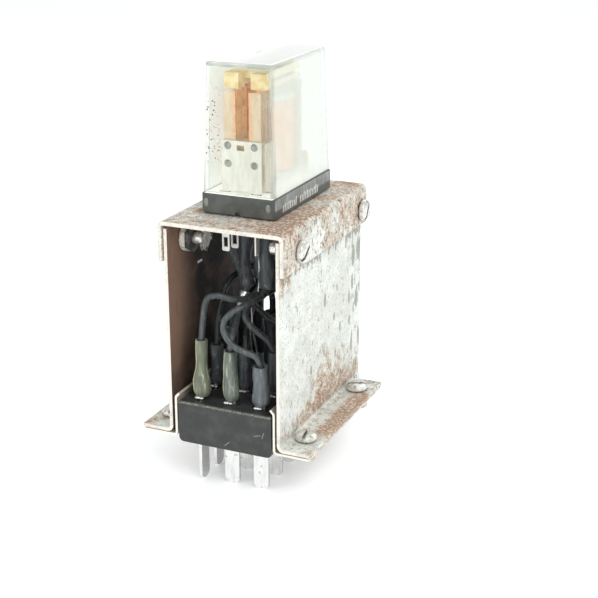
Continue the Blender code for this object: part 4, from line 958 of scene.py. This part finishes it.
def base_ticks(material):
    """Two groups of plain slanted ticks printed along the right side of the relay base."""
    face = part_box("relay_base")[1][0] / MM
    rng = random.Random(3)
    bm = bmesh.new()
    for start, count in TICK_GROUPS:
        for k in range(count):
            y = start + TICK_PITCH * k
            tall = rng.uniform(1.5, 2.2)
            lean, top = tall * TICK_SLANT, TICK_Z + tall
            corners = ((y, TICK_Z), (y + TICK_WIDTH, TICK_Z), (y + TICK_WIDTH + lean, top), (y + lean, top))
            loops = [[bm.verts.new((face + depth, a, b)) for a, b in corners] for depth in (-0.02, 0.03)]
            skin_loops(bm, loops)
    add_piece("base_ticks", bm, material)


# ---------------------------------------------------------------- carried-over nodes
def dress(material, *names, bevel_mm=0.1):
    """Gives CAD nodes a material, and rounds their edges with modifiers."""
    for name in names:
        node = NODES[name]
        node.data.materials.clear()
        node.data.materials.append(material)
        node.data.polygons.foreach_set("use_smooth", [True] * len(node.data.polygons))
        weld = node.modifiers.new("weld", "WELD")
        weld.merge_threshold = 1e-6
        flat = node.modifiers.new("flat", "DECIMATE")
        flat.decimate_type = "DISSOLVE"
        flat.angle_limit = math.radians(1.0)
        if bevel_mm:
            bevel = node.modifiers.new("bevel", "BEVEL")
            bevel.width = bevel_mm * MM
            bevel.segments = 2
            bevel.limit_method = "ANGLE"
            bevel.angle_limit = math.radians(38.0)
        normals = node.modifiers.new("normals", "WEIGHTED_NORMAL")
        normals.keep_sharp = True


SHEET_BEVEL_MM = 0.12


def names_starting(*prefixes):
    return [name for name in NODES if name.startswith(prefixes)]


def dress_nodes():
    cap = sheet_metal("cap_steel_rusted", CAP_PLATING, cap_rust, cap_flakes, 0.95, 950.0)
    dress(cap, "cap_bracket", bevel_mm=SHEET_BEVEL_MM)
    for side, inner_side in (("left", 1), ("right", -1)):
        name = f"{side}_wall_rusted_painted_inner_shade"
        wall = sheet_metal(name, WALL_PLATING, wall_rust, wall_flakes, 0.5, 1400.0, inner_side)
        dress(wall, f"{side}_wall", bevel_mm=SHEET_BEVEL_MM)
    dress(bracket_steel(), "plug_bracket_left", "plug_bracket_right", bevel_mm=0.08)
    dress(phenolic_black(), "plug_body", bevel_mm=0.18)
    dress(nickel(), *names_starting("cap_screw", "foot_screw"), bevel_mm=0.08)
    dress(nut_steel(), *names_starting("cap_nut"), bevel_mm=0.08)
    dress(bright_silver("blade_silver_worn_painted_side_shade", (0.90, 0.90, 0.88), 0.2), *names_starting("plug_blade"))
    dress(base_moulding(), "relay_base")
    dress(clear_cover(), "relay_cover", bevel_mm=0)
    # the last colour of each plated_strip call is the painted orange reflection of the coil
    strip = plated_strip("contact_strip_gilt", (0.76, 0.63, 0.42), (0.66, 0.52, 0.34), (0.88, 0.50, 0.23))
    dress(strip, *names_starting("no_contact", "coil_terminal"), bevel_mm=0.05)
    leaf = plated_strip("leaf_bronze_spring", (0.84, 0.74, 0.60), (0.72, 0.56, 0.40), (1.0, 0.55, 0.15),
                        (0.0026, 0.0038))
    dress(leaf, *names_starting("moving_leaf", "nc_contact", "common_terminal"), bevel_mm=0.03)
    iron = plated_strip("iron_plated", (0.84, 0.83, 0.76), (0.70, 0.68, 0.60), (0.92, 0.62, 0.30))
    dress(iron, "relay_yoke", "coil_core", bevel_mm=0.06)
    yellow = plated_strip("armature_zinc_yellow", (0.92, 0.78, 0.46), (0.80, 0.62, 0.32))
    dress(yellow, "armature", bevel_mm=0.06)
    dress(clamp_steel(), "clamp_plate", bevel_mm=0.06)
    dress(nickel("spring_wire", (0.70, 0.70, 0.68), (0.4, 0.4, 0.38)), "return_spring", bevel_mm=0)
    dress(plain_plastic("bobbin_moulded", (0.84, 0.79, 0.68), (0.72, 0.66, 0.54), 0.4), "coil_bobbin")
    dress(coil_tape(), "coil_winding", bevel_mm=0.2)
    dress(amber(), "contact_card")
    dress(stack_laminate(), "stack_insulator")


# ---------------------------------------------------------------- stage
FLOOR_HALF = 40.0


def make_stage():
    mesh = bpy.data.meshes.new("floor")
    bm = bmesh.new()
    bmesh.ops.create_grid(bm, x_segments=1, y_segments=1, size=FLOOR_HALF)
    bm.to_mesh(mesh)
    bm.free()
    floor = bpy.data.objects.new("floor", mesh)
    bpy.context.scene.collection.objects.link(floor)
    g = Graph("floor_paper")
    mesh.materials.append(g.finish((0.90, 0.905, 0.91), 0.9))
    g.shader.inputs["Emission Color"].default_value = (0.96, 0.98, 1.0, 1.0)
    g.shader.inputs["Emission Strength"].default_value = 0.3
    world = bpy.data.worlds.new("studio")
    world.use_nodes = True
    world.node_tree.nodes["Background"].inputs["Color"].default_value = (0.97, 0.985, 1.0, 1.0)
    world.node_tree.nodes["Background"].inputs["Strength"].default_value = 0.72
    bpy.context.scene.world = world
    bpy.context.scene.view_settings.view_transform = "Standard"


def add_light(name, location, target, size, power):
    data = bpy.data.lights.new(name, "AREA")
    data.shape = "RECTANGLE"
    data.size, data.size_y = size
    data.energy = power
    lamp = bpy.data.objects.new(name, data)
    lamp.location = location
    aim = Vector(target) - Vector(location)
    lamp.rotation_euler = aim.to_track_quat("-Z", "Y").to_euler()
    bpy.context.scene.collection.objects.link(lamp)


def light_studio():
    middle = (0.0, 0.0, 0.05)
    add_light("key", (0.45, -0.35, 0.55), middle, (0.5, 0.5), 2.4)
    add_light("fill", (-0.40, -0.60, 0.22), middle, (0.5, 0.4), 1.0)
    add_light("back", (0.1, 0.6, 0.6), middle, (0.6, 0.4), 1.2)


CAMERA_AT = (0.13457, -0.28388, 0.15341)
CAMERA_PITCH_DEG = 19.574
CAMERA_YAW_DEG = 23.923
CAMERA_LENS = 79.29


def add_camera():
    data = bpy.data.cameras.new("camera")
    data.sensor_width = 36.0
    data.lens = CAMERA_LENS
    data.clip_start = 0.01
    camera = bpy.data.objects.new("camera", data)
    camera.location = CAMERA_AT
    camera.rotation_euler = (math.radians(90.0 - CAMERA_PITCH_DEG), 0.0, math.radians(CAMERA_YAW_DEG))
    bpy.context.scene.collection.objects.link(camera)
    bpy.context.scene.camera = camera


# ---------------------------------------------------------------- assembly
dress_nodes()
# painted shade: the wires deep in the bay get near-black insulation
painted_shade_skin = sleeving("wire_insulation_painted_shade", (0.014, 0.018, 0.018), (0.030, 0.036, 0.036))
wire_skins = {
    "usual": sleeving("wire_insulation", (0.045, 0.055, 0.056), (0.100, 0.112, 0.112)),
    "lead_second_middle": painted_shade_skin,
    "lead_link": painted_shade_skin,
    "rear_link_left": painted_shade_skin,
    "rear_link_right": painted_shade_skin,
}
sleeve_skins = {
    "dark": sleeving("sleeve_dark", (0.036, 0.044, 0.050), (0.100, 0.112, 0.120)),
    # the third colour of a sleeve is its painted highlight
    ("lead_front_left", "plug"): sleeving("sleeve_olive", (0.12, 0.135, 0.095), (0.30, 0.33, 0.22),
                                          (0.78, 0.82, 0.48)),
    ("lead_front_middle", "plug"): sleeving("sleeve_grey_green", (0.075, 0.095, 0.080), (0.22, 0.25, 0.21),
                                            (0.50, 0.54, 0.34)),
    ("lead_front_right", "plug"): sleeving("sleeve_blue_grey", (0.095, 0.115, 0.122), (0.19, 0.215, 0.22)),
}
make_leads(wire_skins, sleeve_skins)
tinned = bright_silver("tinned_bright", (0.96, 0.96, 0.93), 0.25)
make_bare_metal(tinned)
solder_spots(tinned)
base_marks(plain_plastic("mark_grey_green", (0.26, 0.29, 0.24), (0.16, 0.18, 0.15), 0.4))
base_ticks(plain_plastic("tick_white", (0.80, 0.80, 0.78), (0.6, 0.6, 0.58), 0.5))
coil_tape_end(plain_plastic("tape_orange", (0.98, 0.46, 0.12), (0.66, 0.24, 0.06), 0.3, 900.0))
make_stage()
light_studio()
add_camera()
